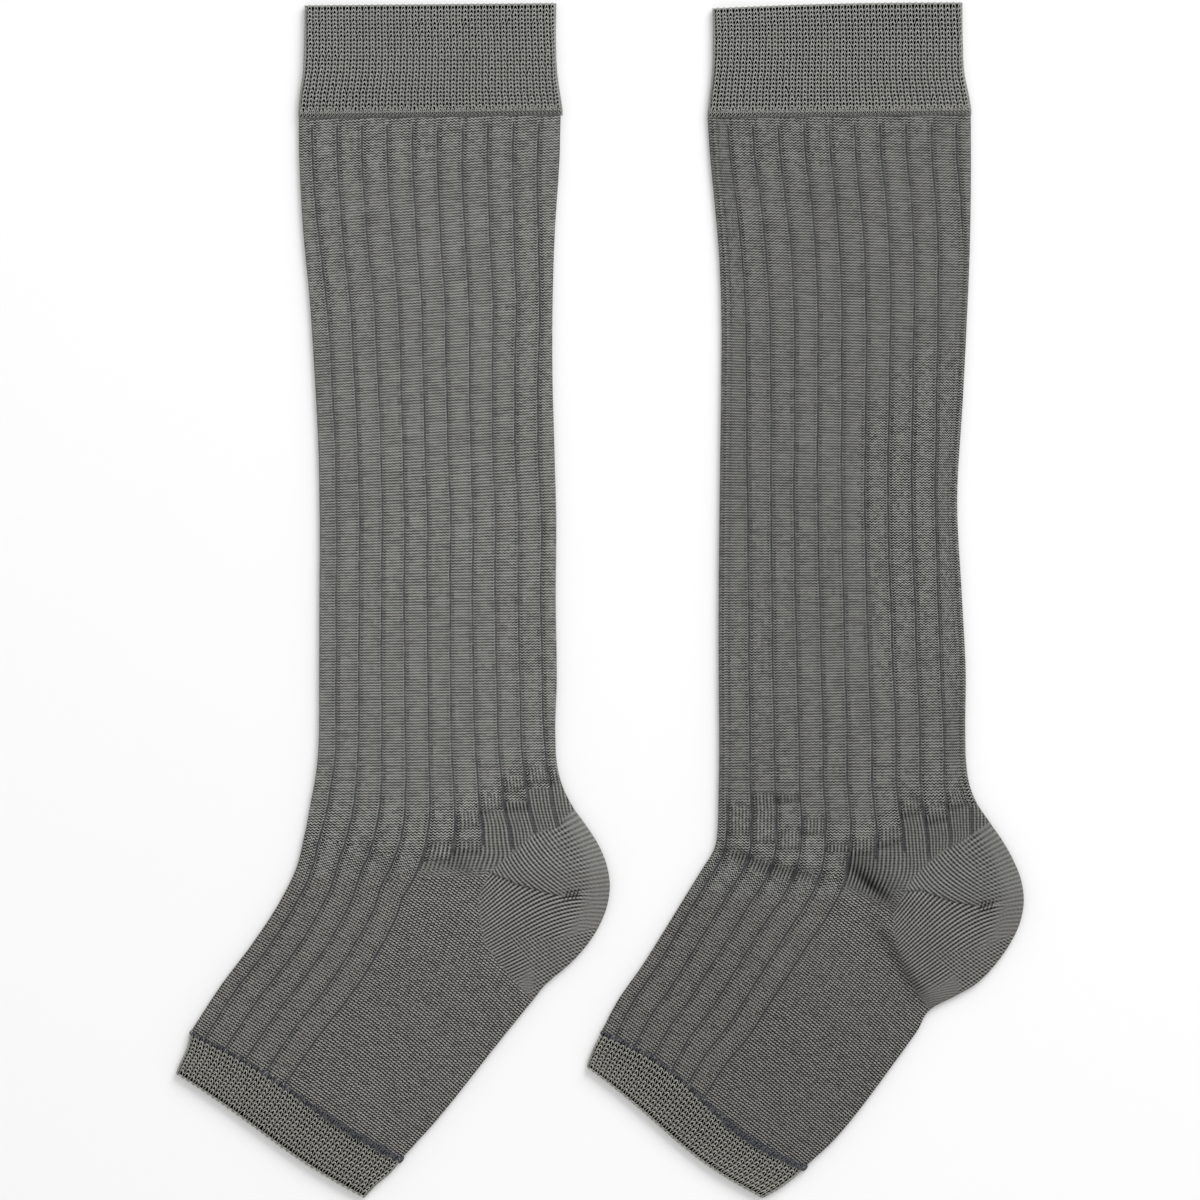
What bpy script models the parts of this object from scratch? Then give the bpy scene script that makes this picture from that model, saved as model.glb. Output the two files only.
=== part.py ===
"""A pair of long ribbed socks with open toes, lying flat side by side.

Each sock is knitted as a tube and lies flattened, with its upper panel resting on its lower one.
It has four pieces: a deep cuff, the ribbed leg that runs on over the instep to the toe seam, the
turned heel pocket, and the band sewn on round the open toe.

The shape of a piece is given by rows. A row is a line of knitting across the flattened tube, from
its front fold, on the shin and instep side, to its back fold, on the calf and sole side. Sizes are
in millimetres, measured from the middle of the pair, with the cuffs towards +Y.
"""

from collections import namedtuple
from math import cos, exp, hypot, pi, sin

import bmesh
import bpy

MM = 0.001

PAIR = "pair_of_long_socks"
SEAM_GAP = 0.3
REST_GAP = 0.4
RIB_WALL = 1.4
CUFF_WALL = 1.7
BAND_WALL = 1.5

GROOVE_DEPTH = 0.4
GROOVE_HALF_WIDTH = 0.6
RIB_CROWN = 0.12
GROOVE_EDGE_MARGIN = 2.6
GROOVE_CROWDING = 0.7
GROOVE_FADE = 1.5

CUFF_WALES = 42
CUFF_WALE_DEPTH = 0.35
BAND_PANELS = 16
HOLLOW_PANELS = 12
UNDER_PANELS = 3

EDGE_REST = 9.0
CUTTER_HEIGHT = 30.0

# A row's two ends, where its first rib groove lies and how far apart the grooves are, how many rings
# are built up to the next row, and how far its middle bows and sways towards the toe.
Row = namedtuple(
    "Row",
    "front_x front_y back_x back_y rib_start rib_pitch rings bow sway",
    defaults=(0.0, 0.0, 1, 0.0, 0.0),
)
Section = namedtuple("Section", "front back width ribs bow sway row")
Ridge = namedtuple("Ridge", "points half_width height")
Sock = namedtuple("Sock", "name cuff leg band ribs rib_ends heel_line heel_side ridges")
Yarn = namedtuple("Yarn", "name colour roughness")

# A leg's first ten rows are level, the next ones fan round the heel, and the last six lie along the foot.
LEFT_CUFF = (
    Row(-115.5, 233.0, -16.8, 233.9),
    Row(-115.8, 219.5, -16.9, 219.5),
    Row(-116.4, 205.8, -16.3, 205.8),
    Row(-117.8, 195.5, -15.0, 196.5),
    Row(-118.2, 188.5, -14.0, 190.2),
)
LEFT_LEG = (
    Row(-117.8, 188.2, -15.2, 189.9, 5.0, 9.9, 1),
    Row(-117.6, 173.5, -15.6, 173.5, 5.2, 9.8, 2),
    Row(-116.1, 145.0, -17.4, 145.0, 5.8, 9.6, 2),
    Row(-113.5, 117.5, -18.3, 117.5, 6.6, 9.3, 1),
    Row(-111.7, 90.0, -18.4, 90.0, 6.8, 9.0, 1),
    Row(-110.1, 59.0, -17.6, 59.0, 6.8, 8.8, 1),
    Row(-109.6, 31.5, -16.9, 31.5, 6.7, 8.9, 1),
    Row(-109.7, 0.0, -17.1, 0.0, 6.6, 8.9, 1),
    Row(-109.8, -31.5, -16.7, -31.5, 6.6, 9.0, 1),
    Row(-110.0, -55.0, -17.2, -55.0, 6.6, 9.1, 1),
    Row(-110.3, -60.8, -16.8, -62.7, 6.7, 9.2, 1),
    Row(-110.7, -65.1, -14.9, -71.7, 6.7, 9.4, 2),
    Row(-111.2, -69.0, -10.6, -80.7, 6.7, 9.6, 2),
    Row(-111.8, -72.5, -5.0, -88.6, 6.7, 9.8, 2),
    Row(-112.4, -75.7, -0.3, -96.0, 6.8, 10.0, 2),
    Row(-112.9, -78.4, 2.9, -103.9, 6.8, 10.1, 2),
    Row(-113.4, -80.9, 4.1, -111.8, 6.8, 10.2, 2),
    Row(-113.8, -83.2, 3.0, -120.0, 6.8, 10.2, 2),
    Row(-114.2, -85.4, -0.2, -127.9, 6.7, 10.2, 2),
    Row(-114.6, -87.6, -5.4, -135.8, 6.6, 10.1, 2),
    Row(-115.0, -89.8, -12.0, -142.9, 6.5, 10.0, 2),
    Row(-115.6, -92.1, -19.7, -149.3, 6.4, 9.8, 2),
    Row(-118.0, -102.7, -26.3, -157.1, 6.2, 9.5, 2),
    Row(-125.0, -117.8, -37.4, -170.7, 6.0, 9.3, 1),
    Row(-135.4, -133.8, -49.4, -185.9, 5.9, 9.3, 1),
    Row(-148.0, -150.6, -62.5, -202.3, 5.9, 9.2, 2, -0.3, -0.5),
    Row(-160.2, -169.2, -77.6, -219.0, 5.9, 9.1, 1, -0.7, -1.2),
)
LEFT_BAND = (
    Row(-160.3, -169.6, -77.7, -219.4, bow=-0.7, sway=-1.2),
    Row(-161.6, -175.0, -81.2, -224.0, bow=-0.1, sway=-1.0),
    Row(-164.0, -180.5, -87.6, -229.5, bow=0.5, sway=-0.8),
    Row(-166.1, -185.4, -92.1, -234.4, bow=1.1, sway=-0.7),
)
RIGHT_CUFF = (
    Row(44.2, 231.8, 142.3, 234.2, bow=-0.7),
    Row(44.3, 219.5, 142.5, 219.5),
    Row(44.0, 206.5, 143.1, 206.5),
    Row(42.9, 196.0, 145.1, 196.5),
    Row(42.0, 188.7, 146.1, 190.2),
)
RIGHT_LEG = (
    Row(42.4, 188.4, 145.5, 189.9, -2.6, 10.0, 1),
    Row(43.3, 174.5, 145.6, 174.5, -2.2, 9.9, 1),
    Row(45.0, 156.8, 145.5, 156.8, -1.5, 9.8, 1),
    Row(47.0, 133.3, 145.0, 133.3, -0.6, 9.6, 1),
    Row(47.8, 107.8, 143.9, 107.8, 0.2, 9.4, 1),
    Row(47.6, 78.4, 142.4, 78.4, 0.8, 9.3, 2),
    Row(47.1, 39.2, 140.2, 39.2, 1.6, 9.2, 2),
    Row(46.7, 0.0, 142.1, 0.0, 2.3, 9.3, 1),
    Row(46.7, -27.4, 143.5, -27.4, 2.5, 9.4, 1),
    Row(46.9, -53.0, 143.4, -53.0, 2.6, 9.5, 1),
    Row(46.9, -64.7, 143.8, -64.7, 2.8, 9.5, 1),
    Row(46.8, -69.8, 144.9, -71.9, 2.9, 9.5, 1),
    Row(46.7, -74.5, 148.0, -79.8, 3.0, 9.6, 2),
    Row(46.6, -78.4, 152.9, -87.0, 3.2, 9.7, 2),
    Row(46.6, -82.0, 158.0, -94.4, 3.3, 9.8, 2),
    Row(46.5, -85.5, 162.2, -101.9, 3.4, 9.8, 2),
    Row(46.4, -88.6, 165.2, -109.5, 3.6, 9.8, 2),
    Row(46.2, -91.4, 166.3, -117.6, 3.8, 9.8, 2),
    Row(45.9, -94.1, 165.0, -125.8, 4.0, 9.7, 2),
    Row(45.3, -96.6, 161.2, -134.1, 4.1, 9.6, 2),
    Row(44.4, -98.8, 155.6, -142.2, 4.2, 9.5, 2),
    Row(43.1, -101.1, 148.2, -149.9, 4.3, 9.4, 2),
    Row(41.9, -102.9, 138.4, -155.7, 4.3, 9.4, 2),
    Row(40.7, -104.7, 130.7, -159.6, 4.4, 9.3, 2),
    Row(35.5, -113.1, 124.4, -169.0, 4.5, 9.2, 2),
    Row(26.7, -127.4, 114.4, -182.8, 4.6, 9.1, 1),
    Row(16.3, -143.9, 101.8, -199.8, 5.0, 9.0, 1, 0.0, -0.6),
    Row(7.3, -156.8, 91.7, -211.8, 5.3, 8.7, 2, 0.0, -1.6),
    Row(0.8, -169.0, 80.4, -222.2, 5.6, 8.5, 1, -0.2, -2.8),
)
RIGHT_BAND = (
    Row(0.7, -169.4, 80.3, -222.6, bow=-0.2, sway=-2.8),
    Row(-1.9, -174.2, 76.4, -226.4, bow=0.6, sway=-2.2),
    Row(-4.0, -179.4, 69.6, -231.3, bow=1.6, sway=-1.5),
    Row(-5.1, -182.8, 63.9, -234.4, bow=2.2, sway=-1.0),
)

# Where the turned heel joins the leg above and the sole below, from the back fold round its apex.
LEFT_HEEL_LINE = (
    (-10.4, -82.6),
    (-17.0, -89.0),
    (-26.0, -91.6),
    (-32.0, -97.4),
    (-39.0, -103.1),
    (-43.0, -107.2),
    (-46.4, -113.5),
    (-47.2, -120.0),
    (-46.6, -126.5),
    (-44.8, -134.5),
    (-38.0, -144.0),
    (-26.2, -156.6),
)
RIGHT_HEEL_LINE = (
    (153.0, -87.0),
    (144.3, -93.0),
    (134.8, -98.2),
    (128.7, -103.2),
    (122.7, -109.0),
    (119.6, -114.6),
    (115.4, -121.8),
    (115.4, -128.0),
    (116.6, -136.0),
    (119.3, -144.6),
    (123.3, -152.2),
    (129.2, -160.4),
)
# The rest of the outline round a heel, well clear of it, from the sole back up to the calf.
LEFT_HEEL_SIDE = ((-14.0, -168.0), (22.0, -150.0), (22.0, -80.0), (2.0, -72.0))
RIGHT_HEEL_SIDE = ((142.0, -172.0), (185.0, -150.0), (185.0, -90.0), (166.0, -76.0))

# Where the cloth of the upper panel stands off the lower one: over the heels, beside the soft creases
# of the left ankle, and in the folds of the right sock, whose foot buckles under its ankle.
LEFT_RIDGES = (
    Ridge(((-22.0, -108.0), (-20.0, -122.0)), 17.0, 1.1),
    Ridge(((-58.0, -96.0), (-50.0, -118.0), (-44.0, -136.0)), 6.0, 0.35),
    Ridge(((-98.0, -88.0), (-78.0, -98.0)), 7.0, 0.3),
    Ridge(((-72.0, 150.0), (-70.0, 60.0), (-66.0, -40.0)), 24.0, 0.35),
    Ridge(((-88.0, -140.0), (-110.0, -172.0)), 20.0, 0.4),
)
RIGHT_RIDGES = (
    Ridge(((147.0, -112.0), (146.0, -126.0)), 16.0, 1.2),
    Ridge(((52.0, -93.0), (68.0, -98.5), (84.0, -102.5), (97.0, -102.0)), 4.2, 0.9),
    Ridge(((50.0, -107.0), (66.0, -111.0), (82.0, -115.0), (94.0, -118.0)), 5.0, 0.6),
    Ridge(((104.0, -97.0), (113.0, -105.0), (122.0, -116.0)), 5.0, 1.1),
    Ridge(((99.0, -116.0), (108.0, -128.0), (115.0, -146.0)), 6.0, 1.2),
    Ridge(((92.0, 150.0), (95.0, 60.0), (96.0, -40.0)), 24.0, 0.35),
    Ridge(((88.0, -146.0), (58.0, -182.0)), 20.0, 0.4),
)

# The last row that each back groove reaches. The grooves before these run on to the toe seam.
LEFT_RIB_ENDS = {5: 17.0, 6: 15.6, 7: 15.0, 8: 14.2, 9: 13.3}
RIGHT_RIB_ENDS = {6: 16.4, 7: 15.5, 8: 15.7, 9: 14.8, 10: 14.0}

LEFT = Sock(
    name="left",
    cuff=LEFT_CUFF,
    leg=LEFT_LEG,
    band=LEFT_BAND,
    ribs=10,
    rib_ends=LEFT_RIB_ENDS,
    heel_line=LEFT_HEEL_LINE,
    heel_side=LEFT_HEEL_SIDE,
    ridges=LEFT_RIDGES,
)
RIGHT = Sock(
    name="right",
    cuff=RIGHT_CUFF,
    leg=RIGHT_LEG,
    band=RIGHT_BAND,
    ribs=11,
    rib_ends=RIGHT_RIB_ENDS,
    heel_line=RIGHT_HEEL_LINE,
    heel_side=RIGHT_HEEL_SIDE,
    ridges=RIGHT_RIDGES,
)

CUFF_YARN = Yarn("cuff_knit", (0.150, 0.153, 0.145, 1.0), 0.85)
RIB_YARN = Yarn("rib_knit", (0.152, 0.154, 0.147, 1.0), 0.85)
HEEL_YARN = Yarn("heel_knit", (0.170, 0.173, 0.163, 1.0), 0.75)
BAND_YARN = Yarn("band_knit", (0.120, 0.120, 0.108, 1.0), 0.88)


def clear_scene():
    for old in list(bpy.data.objects):
        bpy.data.objects.remove(old)


def new_collection(name):
    collection = bpy.data.collections.new(name)
    bpy.context.scene.collection.children.link(collection)
    return collection


def yarn_material(yarn):
    material = bpy.data.materials.new(yarn.name)
    material.use_nodes = True
    shader = material.node_tree.nodes["Principled BSDF"]
    shader.inputs["Base Color"].default_value = yarn.colour
    shader.inputs["Roughness"].default_value = yarn.roughness
    shader.inputs["Metallic"].default_value = 0.0
    return material


def mix(a, b, share):
    return a + (b - a) * share


def smoothstep(share):
    share = min(max(share, 0.0), 1.0)
    return share * share * (3.0 - 2.0 * share)


def row_knots(rows):
    """How far along the sock each row lies: the mean distance that its two ends have moved."""
    knots = [0.0]
    for row, following in zip(rows, rows[1:]):
        front = hypot(following.front_x - row.front_x, following.front_y - row.front_y)
        back = hypot(following.back_x - row.back_x, following.back_y - row.back_y)
        knots.append(knots[-1] + (front + back) / 2)
    return knots


def slope_at(knots, values, i):
    """The slope at knot i of a smooth curve through the values."""
    before, after = max(i - 1, 0), min(i + 1, len(knots) - 1)
    if before == i or after == i:
        return (values[after] - values[before]) / (knots[after] - knots[before])
    left = (values[i] - values[before]) / (knots[i] - knots[before])
    right = (values[after] - values[i]) / (knots[after] - knots[i])
    return mix(left, right, (knots[i] - knots[before]) / (knots[after] - knots[before]))


def smooth_value(knots, values, i, share):
    """The curve through the values, at a share of the way from knot i to the next."""
    if i == len(knots) - 1:
        return values[i]
    step = knots[i + 1] - knots[i]
    start, end = slope_at(knots, values, i) * step, slope_at(knots, values, i + 1) * step
    rest = 1.0 - share
    return (
        values[i] * (1 + 2 * share) * rest * rest
        + start * share * rest * rest
        + values[i + 1] * share * share * (3 - 2 * share)
        - end * share * share * rest
    )


def sections_along(rows, ribs):
    """Each row and the rings between rows, as sections of a smooth tube."""
    knots = row_knots(rows)
    columns = Row(*zip(*rows))
    found = []
    for i, row in enumerate(rows):
        rings = 1 if i == len(rows) - 1 else row.rings
        for ring in range(rings):
            share = ring / rings
            now = Row(*(smooth_value(knots, column, i, share) for column in columns))
            front, back = (now.front_x, now.front_y), (now.back_x, now.back_y)
            width = hypot(now.back_x - now.front_x, now.back_y - now.front_y)
            places = [now.rib_start + now.rib_pitch * k for k in range(ribs)]
            found.append(Section(front, back, width, places, now.bow, now.sway, i + share))
    return found


def distance_to_line(x, y, points):
    """The distance from a point to the nearest of a line's stretches."""
    gaps = []
    for (ax, ay), (bx, by) in zip(points, points[1:]):
        dx, dy = bx - ax, by - ay
        along = ((x - ax) * dx + (y - ay) * dy) / (dx * dx + dy * dy)
        along = min(max(along, 0.0), 1.0)
        gaps.append(hypot(x - ax - along * dx, y - ay - along * dy))
    return min(gaps)


def lift_at(sock, x, y, edge):
    """How far the upper panel stands off the lower one here, given the distance to the nearer fold."""
    height = sum(
        ridge.height * exp(-((distance_to_line(x, y, ridge.points) / ridge.half_width) ** 2))
        for ridge in sock.ridges
    )
    return height * smoothstep(edge / EDGE_REST)


def groove_share(sock, k, section):
    """How much of its depth groove k has at a section: none past its end or where a fold hides it."""
    share = smoothstep((sock.rib_ends.get(k, section.row + GROOVE_FADE) - section.row) / GROOVE_FADE)
    place = section.ribs[k]
    for inside in (place - GROOVE_EDGE_MARGIN, section.width - GROOVE_EDGE_MARGIN - place):
        share *= smoothstep(inside)
    return share


def ribbed_profile(sock, section, radius):
    """The upper panel's outer points as (distance from the front fold, rise): ribs parted by grooves."""
    spread = GROOVE_CROWDING + 2 * GROOVE_HALF_WIDTH
    low = radius + GROOVE_CROWDING + GROOVE_HALF_WIDTH
    high = section.width - low
    last = len(section.ribs) - 1
    points = []
    rib_start = radius
    for k, place in enumerate(section.ribs):
        place = min(max(place, low + spread * k), high - spread * (last - k))
        points.append(((rib_start + place - GROOVE_HALF_WIDTH) / 2, RIB_CROWN))
        points.append((place - GROOVE_HALF_WIDTH, 0.0))
        points.append((place, -GROOVE_DEPTH * groove_share(sock, k, section)))
        rib_start = place + GROOVE_HALF_WIDTH
        points.append((rib_start, 0.0))
    points.append(((rib_start + section.width - radius) / 2, RIB_CROWN))
    return points


def cuff_profile(sock, section, radius):
    """Fine upright wales all across the cuff's upper panel."""
    pitch = (section.width - 2 * radius) / CUFF_WALES
    points = []
    for wale in range(CUFF_WALES):
        points.append((radius + pitch * (wale + 0.5), 0.0))
        if wale < CUFF_WALES - 1:
            points.append((radius + pitch * (wale + 1), -CUFF_WALE_DEPTH))
    return points


def band_profile(sock, section, radius):
    """The toe band is an even mesh, so its upper panel is plain."""
    pitch = (section.width - 2 * radius) / BAND_PANELS
    return [(radius + pitch * i, 0.0) for i in range(1, BAND_PANELS)]


def placed(sock, section, distance, height, under, radius):
    """A section's point in space, with its key round the section from 0 at the front fold to 1."""
    share = distance / section.width
    across_x = section.back[0] - section.front[0]
    across_y = section.back[1] - section.front[1]
    forward = (section.bow * sin(pi * share) + section.sway * sin(2 * pi * share)) / section.width
    x = section.front[0] + across_x * share + across_y * forward
    y = section.front[1] + across_y * share - across_x * forward
    if height > radius:
        height += lift_at(sock, x, y, min(distance, section.width - distance))
    return (x, y, height), 1.0 - share / 2 if under else share / 2


def outer_loop(sock, section, wall, profile):
    """The outside of the flattened tube: front fold, upper panel, back fold, then the flat underside."""
    height = 2 * wall + REST_GAP
    radius = height / 2
    lean, rise = radius * (1 - cos(pi / 4)), radius * sin(pi / 4)
    width = section.width
    upper = [(0.0, radius), (lean, radius + rise), (radius, height)]
    upper += [(distance, height + relief) for distance, relief in profile(sock, section, radius)]
    upper += [(width - radius, height), (width - lean, radius + rise), (width, radius)]
    lower = [(width - lean, radius - rise)]
    lower += [(mix(width - radius, radius, i / UNDER_PANELS), 0.0) for i in range(UNDER_PANELS + 1)]
    lower += [(lean, radius - rise)]
    return [placed(sock, section, *point, False, radius) for point in upper] + [
        placed(sock, section, *point, True, radius) for point in lower
    ]


def inner_loop(sock, section, wall):
    """The thin hollow between the panels, which keeps the wall's thickness under any lifted cloth."""
    height = 2 * wall + REST_GAP
    radius = height / 2
    near, far = wall, section.width - wall
    start, end = near + REST_GAP, far - REST_GAP
    upper = [(near, radius)]
    upper += [(mix(start, end, i / HOLLOW_PANELS), height - wall) for i in range(HOLLOW_PANELS + 1)]
    upper += [(far, radius)]
    lower = [(mix(end, start, i / UNDER_PANELS), wall) for i in range(UNDER_PANELS + 1)]
    return [placed(sock, section, *point, False, radius) for point in upper] + [
        placed(sock, section, *point, True, radius) for point in lower
    ]


def skin_rings(bm, rings):
    """Quads between each ring of vertices and the next, all round."""
    for ring, following in zip(rings, rings[1:]):
        for i, vertex in enumerate(ring):
            after = (i + 1) % len(ring)
            bm.faces.new((vertex, ring[after], following[after], following[i]))


def zip_rings(bm, outer, inner, outer_keys, inner_keys):
    """Fills a tube's end between two rings of unlike counts, stepping round both by their keys."""
    i = j = 0
    while i < len(outer) or j < len(inner):
        next_outer = outer_keys[i + 1] if i + 1 < len(outer) else 1.0
        next_inner = inner_keys[j + 1] if j + 1 < len(inner) else 1.0
        a, b = outer[i % len(outer)], inner[j % len(inner)]
        if j == len(inner) or (i < len(outer) and next_outer <= next_inner):
            i += 1
            bm.faces.new((a, outer[i % len(outer)], b))
        else:
            j += 1
            bm.faces.new((a, inner[j % len(inner)], b))


def metres(point, place):
    """A point in metres, measured from the place of its sock's empty."""
    return (point[0] - place[0]) * MM, (point[1] - place[1]) * MM, point[2] * MM


def mesh_from(name, bm):
    bmesh.ops.recalc_face_normals(bm, faces=bm.faces)
    mesh = bpy.data.meshes.new(name)
    bm.to_mesh(mesh)
    bm.free()
    return mesh


def tube_mesh(name, sock, rows, wall, profile, ribs, place):
    """A flattened tube of cloth through its rows, open at both ends."""
    bm = bmesh.new()
    outer_rings, inner_rings, keys = [], [], []
    for section in sections_along(rows, ribs):
        outer = outer_loop(sock, section, wall, profile)
        inner = inner_loop(sock, section, wall)
        outer_rings.append([bm.verts.new(metres(point, place)) for point, _ in outer])
        inner_rings.append([bm.verts.new(metres(point, place)) for point, _ in inner])
        keys.append(([key for _, key in outer], [key for _, key in inner]))
    skin_rings(bm, outer_rings)
    skin_rings(bm, inner_rings)
    for end in (0, -1):
        zip_rings(bm, outer_rings[end], inner_rings[end], *keys[end])
    mesh = mesh_from(name, bm)
    mesh.shade_smooth()
    return mesh


def moved_out(points, gap):
    """A heel line's points moved by the gap towards the leg and sole."""
    found = []
    for i, (x, y) in enumerate(points):
        (ax, ay), (bx, by) = points[max(i - 1, 0)], points[min(i + 1, len(points) - 1)]
        length = hypot(bx - ax, by - ay)
        found.append((x + gap * (by - ay) / length, y - gap * (bx - ax) / length))
    return found


def add_object(name, mesh, collection, parent):
    piece = bpy.data.objects.new(name, mesh)
    piece.parent = parent
    collection.objects.link(piece)
    return piece


def heel_cutter(name, sock, gap, place, collection, parent):
    """An upright prism round the heel, which reaches past its join line by the gap."""
    outline = moved_out(sock.heel_line, gap) + list(sock.heel_side)
    bm = bmesh.new()
    base = bm.faces.new([bm.verts.new(metres((x, y, -CUTTER_HEIGHT / 2), place)) for x, y in outline])
    risen = bmesh.ops.extrude_face_region(bm, geom=[base])["geom"]
    top = [vertex for vertex in risen if isinstance(vertex, bmesh.types.BMVert)]
    bmesh.ops.translate(bm, verts=top, vec=(0, 0, CUTTER_HEIGHT * MM))
    cutter = add_object(name, mesh_from(name, bm), collection, parent)
    cutter.hide_render = True
    cutter.display_type = "WIRE"
    return cutter


def cut(piece, cutter, operation):
    boolean = piece.modifiers.new(operation.lower(), "BOOLEAN")
    boolean.object = cutter
    boolean.operation = operation
    boolean.solver = "EXACT"


def build_sock(sock, parts, cutters, materials):
    """The four pieces of one sock, on an empty at the middle of the cuff's top edge."""
    top = sock.cuff[0]
    place = ((top.front_x + top.back_x) / 2, (top.front_y + top.back_y) / 2)
    holder = bpy.data.objects.new(sock.name + "_sock", None)
    holder.location = (place[0] * MM, place[1] * MM, 0.0)
    parts.objects.link(holder)

    def tube(piece, rows, wall, profile, ribs, yarn):
        name = f"{sock.name}_{piece}"
        mesh = tube_mesh(name, sock, rows, wall, profile, ribs, place)
        mesh.materials.append(materials[yarn])
        return add_object(name, mesh, parts, holder)

    tube("cuff", sock.cuff, CUFF_WALL, cuff_profile, 0, CUFF_YARN)
    leg = tube("leg", sock.leg, RIB_WALL, ribbed_profile, sock.ribs, RIB_YARN)
    heel = tube("heel", sock.leg, RIB_WALL, ribbed_profile, sock.ribs, HEEL_YARN)
    tube("toe_band", sock.band, BAND_WALL, band_profile, 0, BAND_YARN)
    cut(heel, heel_cutter(sock.name + "_heel_cutter", sock, 0.0, place, cutters, holder), "INTERSECT")
    cut(leg, heel_cutter(sock.name + "_leg_cutter", sock, SEAM_GAP, place, cutters, holder), "DIFFERENCE")


def main():
    clear_scene()
    parts = new_collection(PAIR)
    cutters = new_collection("cutters")
    materials = {yarn: yarn_material(yarn) for yarn in (CUFF_YARN, RIB_YARN, HEEL_YARN, BAND_YARN)}
    for sock in (LEFT, RIGHT):
        build_sock(sock, parts, cutters, materials)


main()
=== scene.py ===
"""A pair of long ribbed socks with open toes, laid flat side by side.

Each sock lies as a flattened tube. The leg, heel and foot are one thin shell of ribbed cloth. The cuff
and the toe band are openwork, so each has a near-black shell of painted shade inside, standing for the
shaded inside of the tube, with its courses of yarn looped over it, and a dark overlocked seam joins the
toe band on. Sizes in the tables are in millimetres, measured from the middle of the pair, with the cuffs
towards +Y.
"""

from collections import namedtuple
from functools import partialmethod
from math import pi, radians, tau

import bmesh
import bpy
import numpy as np
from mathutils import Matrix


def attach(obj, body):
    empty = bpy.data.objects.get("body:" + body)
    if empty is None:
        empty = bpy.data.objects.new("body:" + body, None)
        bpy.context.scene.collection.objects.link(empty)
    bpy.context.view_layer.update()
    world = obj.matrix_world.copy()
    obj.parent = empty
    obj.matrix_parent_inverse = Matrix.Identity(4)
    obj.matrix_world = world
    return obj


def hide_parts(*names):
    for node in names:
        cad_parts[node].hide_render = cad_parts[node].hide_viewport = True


bl_info = {
    "name": "Pair of long ribbed socks",
    "version": (1, 0, 0),
    "blender": (4, 5, 0),
    "location": "3D View > Sidebar > Long socks",
    "description": "Knits the legs, cuffs, toe bands and seams of a pair of long socks, and lays the stage",
    "category": "Object",
}

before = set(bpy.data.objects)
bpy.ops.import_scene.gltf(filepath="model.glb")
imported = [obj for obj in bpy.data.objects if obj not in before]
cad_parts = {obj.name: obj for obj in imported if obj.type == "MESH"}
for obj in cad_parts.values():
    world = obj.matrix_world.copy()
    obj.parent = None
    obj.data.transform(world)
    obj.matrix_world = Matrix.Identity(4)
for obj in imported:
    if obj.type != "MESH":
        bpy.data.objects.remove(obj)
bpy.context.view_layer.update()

MM = 0.001

# The hollow between a tube's two panels, the least cloth that a trough leaves, how far in from a fold
# swells and creases reach their height, and how many points go up a fold and across the inside.
REST_GAP = 0.4
THINNEST = 0.5
EDGE_REST = 9.0
FOLD_STEPS = 4
INSIDE_STEPS = 13

# A rib groove: half its width, how near a fold it fades, how close two may come, and how many of the
# table's rows it takes to end. Then the points across each rib, above and below.
GROOVE_HALF_WIDTH = 0.55
GROOVE_EDGE_MARGIN = 2.6
GROOVE_CROWDING = 0.8
GROOVE_FADE = 0.5
RIB_STEPS = 8
UNDER_RIB_STEPS = 4

# The stitches across a rib, the share of it that its groove takes, and the stitches across plain knit.
PURL_WALES = 6
GROOVE_SHARE = 0.10
PLAIN_WALES = 7

# The size by which places in the heel are divided before its lines of knit are worked out, how much more
# the lines' directions count than their distances, and how strongly the terms are kept small.
HEEL_SPAN = 30.0
DIRECTION_WEIGHT = 3.0
CALM_WEIGHT = 0.05

# The slight waves of the laid cloth: their heights, how far along X and along Y a radian of them is, and
# their shares of the phase.
UNEVEN_WAVES = ((0.10, 6.1, 23.0, 1.0), (0.08, 9.7, -13.0, 2.1), (0.05, 2.9, 7.3, 0.7))

# A loop's arch reaches over its course by a share of the distance between courses, and stands up. Its
# legs draw in at the neck.
LOOP_REACH = 0.75
LOOP_RISE = 0.06
LOOP_NECK = 0.26

# The open end of a cuff or toe band: where its sheet of painted shade starts, how far in its rim lies and
# where that starts and ends, where its last course lies and how far it reaches, and the gap to the next
# arch.
SHEET_GAP = 0.9
RIM_INSET = 0.42
RIM_SPAN = (0.25, 0.85)
END_COURSE = 0.42
END_REACH = 0.22
COURSE_GAP = 0.5

# The points across a sheet of painted shade or a rim, and how far apart its rings are.
SHELL_STEPS = 42
SHELL_RING = 1.5

# How far in the sheets of painted shade lie, and how far they and the courses stay from the end that is
# sewn on.
CUFF_INSET = 1.0
CUFF_SHEET_GAP = 0.4
CUFF_HEM_ROOM = 3.2
BAND_INSET = 0.95
BAND_SHEET_GAP = 0.2
BAND_COURSE_GAP = 0.6

# The finer knit of the cuff's hem: its stitches, its yarn, how far each course is from the lower edge,
# how far each reaches and how deep each lies.
HEM_WALE = 1.5
HEM_YARN = 0.36
HEM_COURSES = np.array((2.6, 1.5, 0.3))
HEM_REACHES = np.array((0.62, 0.58, 0.5))
HEM_DEPTHS = np.array((0.0, 0.1, 0.3))

# The seam's stitches, the points in each, and its two strands: reach, height and start of their turns.
SEAM_STITCH = 1.05
SEAM_STEPS = 8
SEAM_STRANDS = ((1.0, 0.55, 0.0), (0.72, 0.42, 2.6))

# How much single stitches of the seam differ, its weight at the front fold and what it gains towards the
# back one, and the strength and length of its blotches.
SEAM_JITTER = 0.16
SEAM_LIGHTEST = 0.70
SEAM_GAIN = 0.65
SEAM_BLOTCH = 0.22
SEAM_BLOTCH_LENGTH = 3.1

# How deep the bump of the stitches is, and that of the openwork's fibres and the seam's, in metres.
STITCH_RELIEF = 0.00022
FIBRE_RELIEF = 0.0001
THREAD_RELIEF = 0.00015

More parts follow.
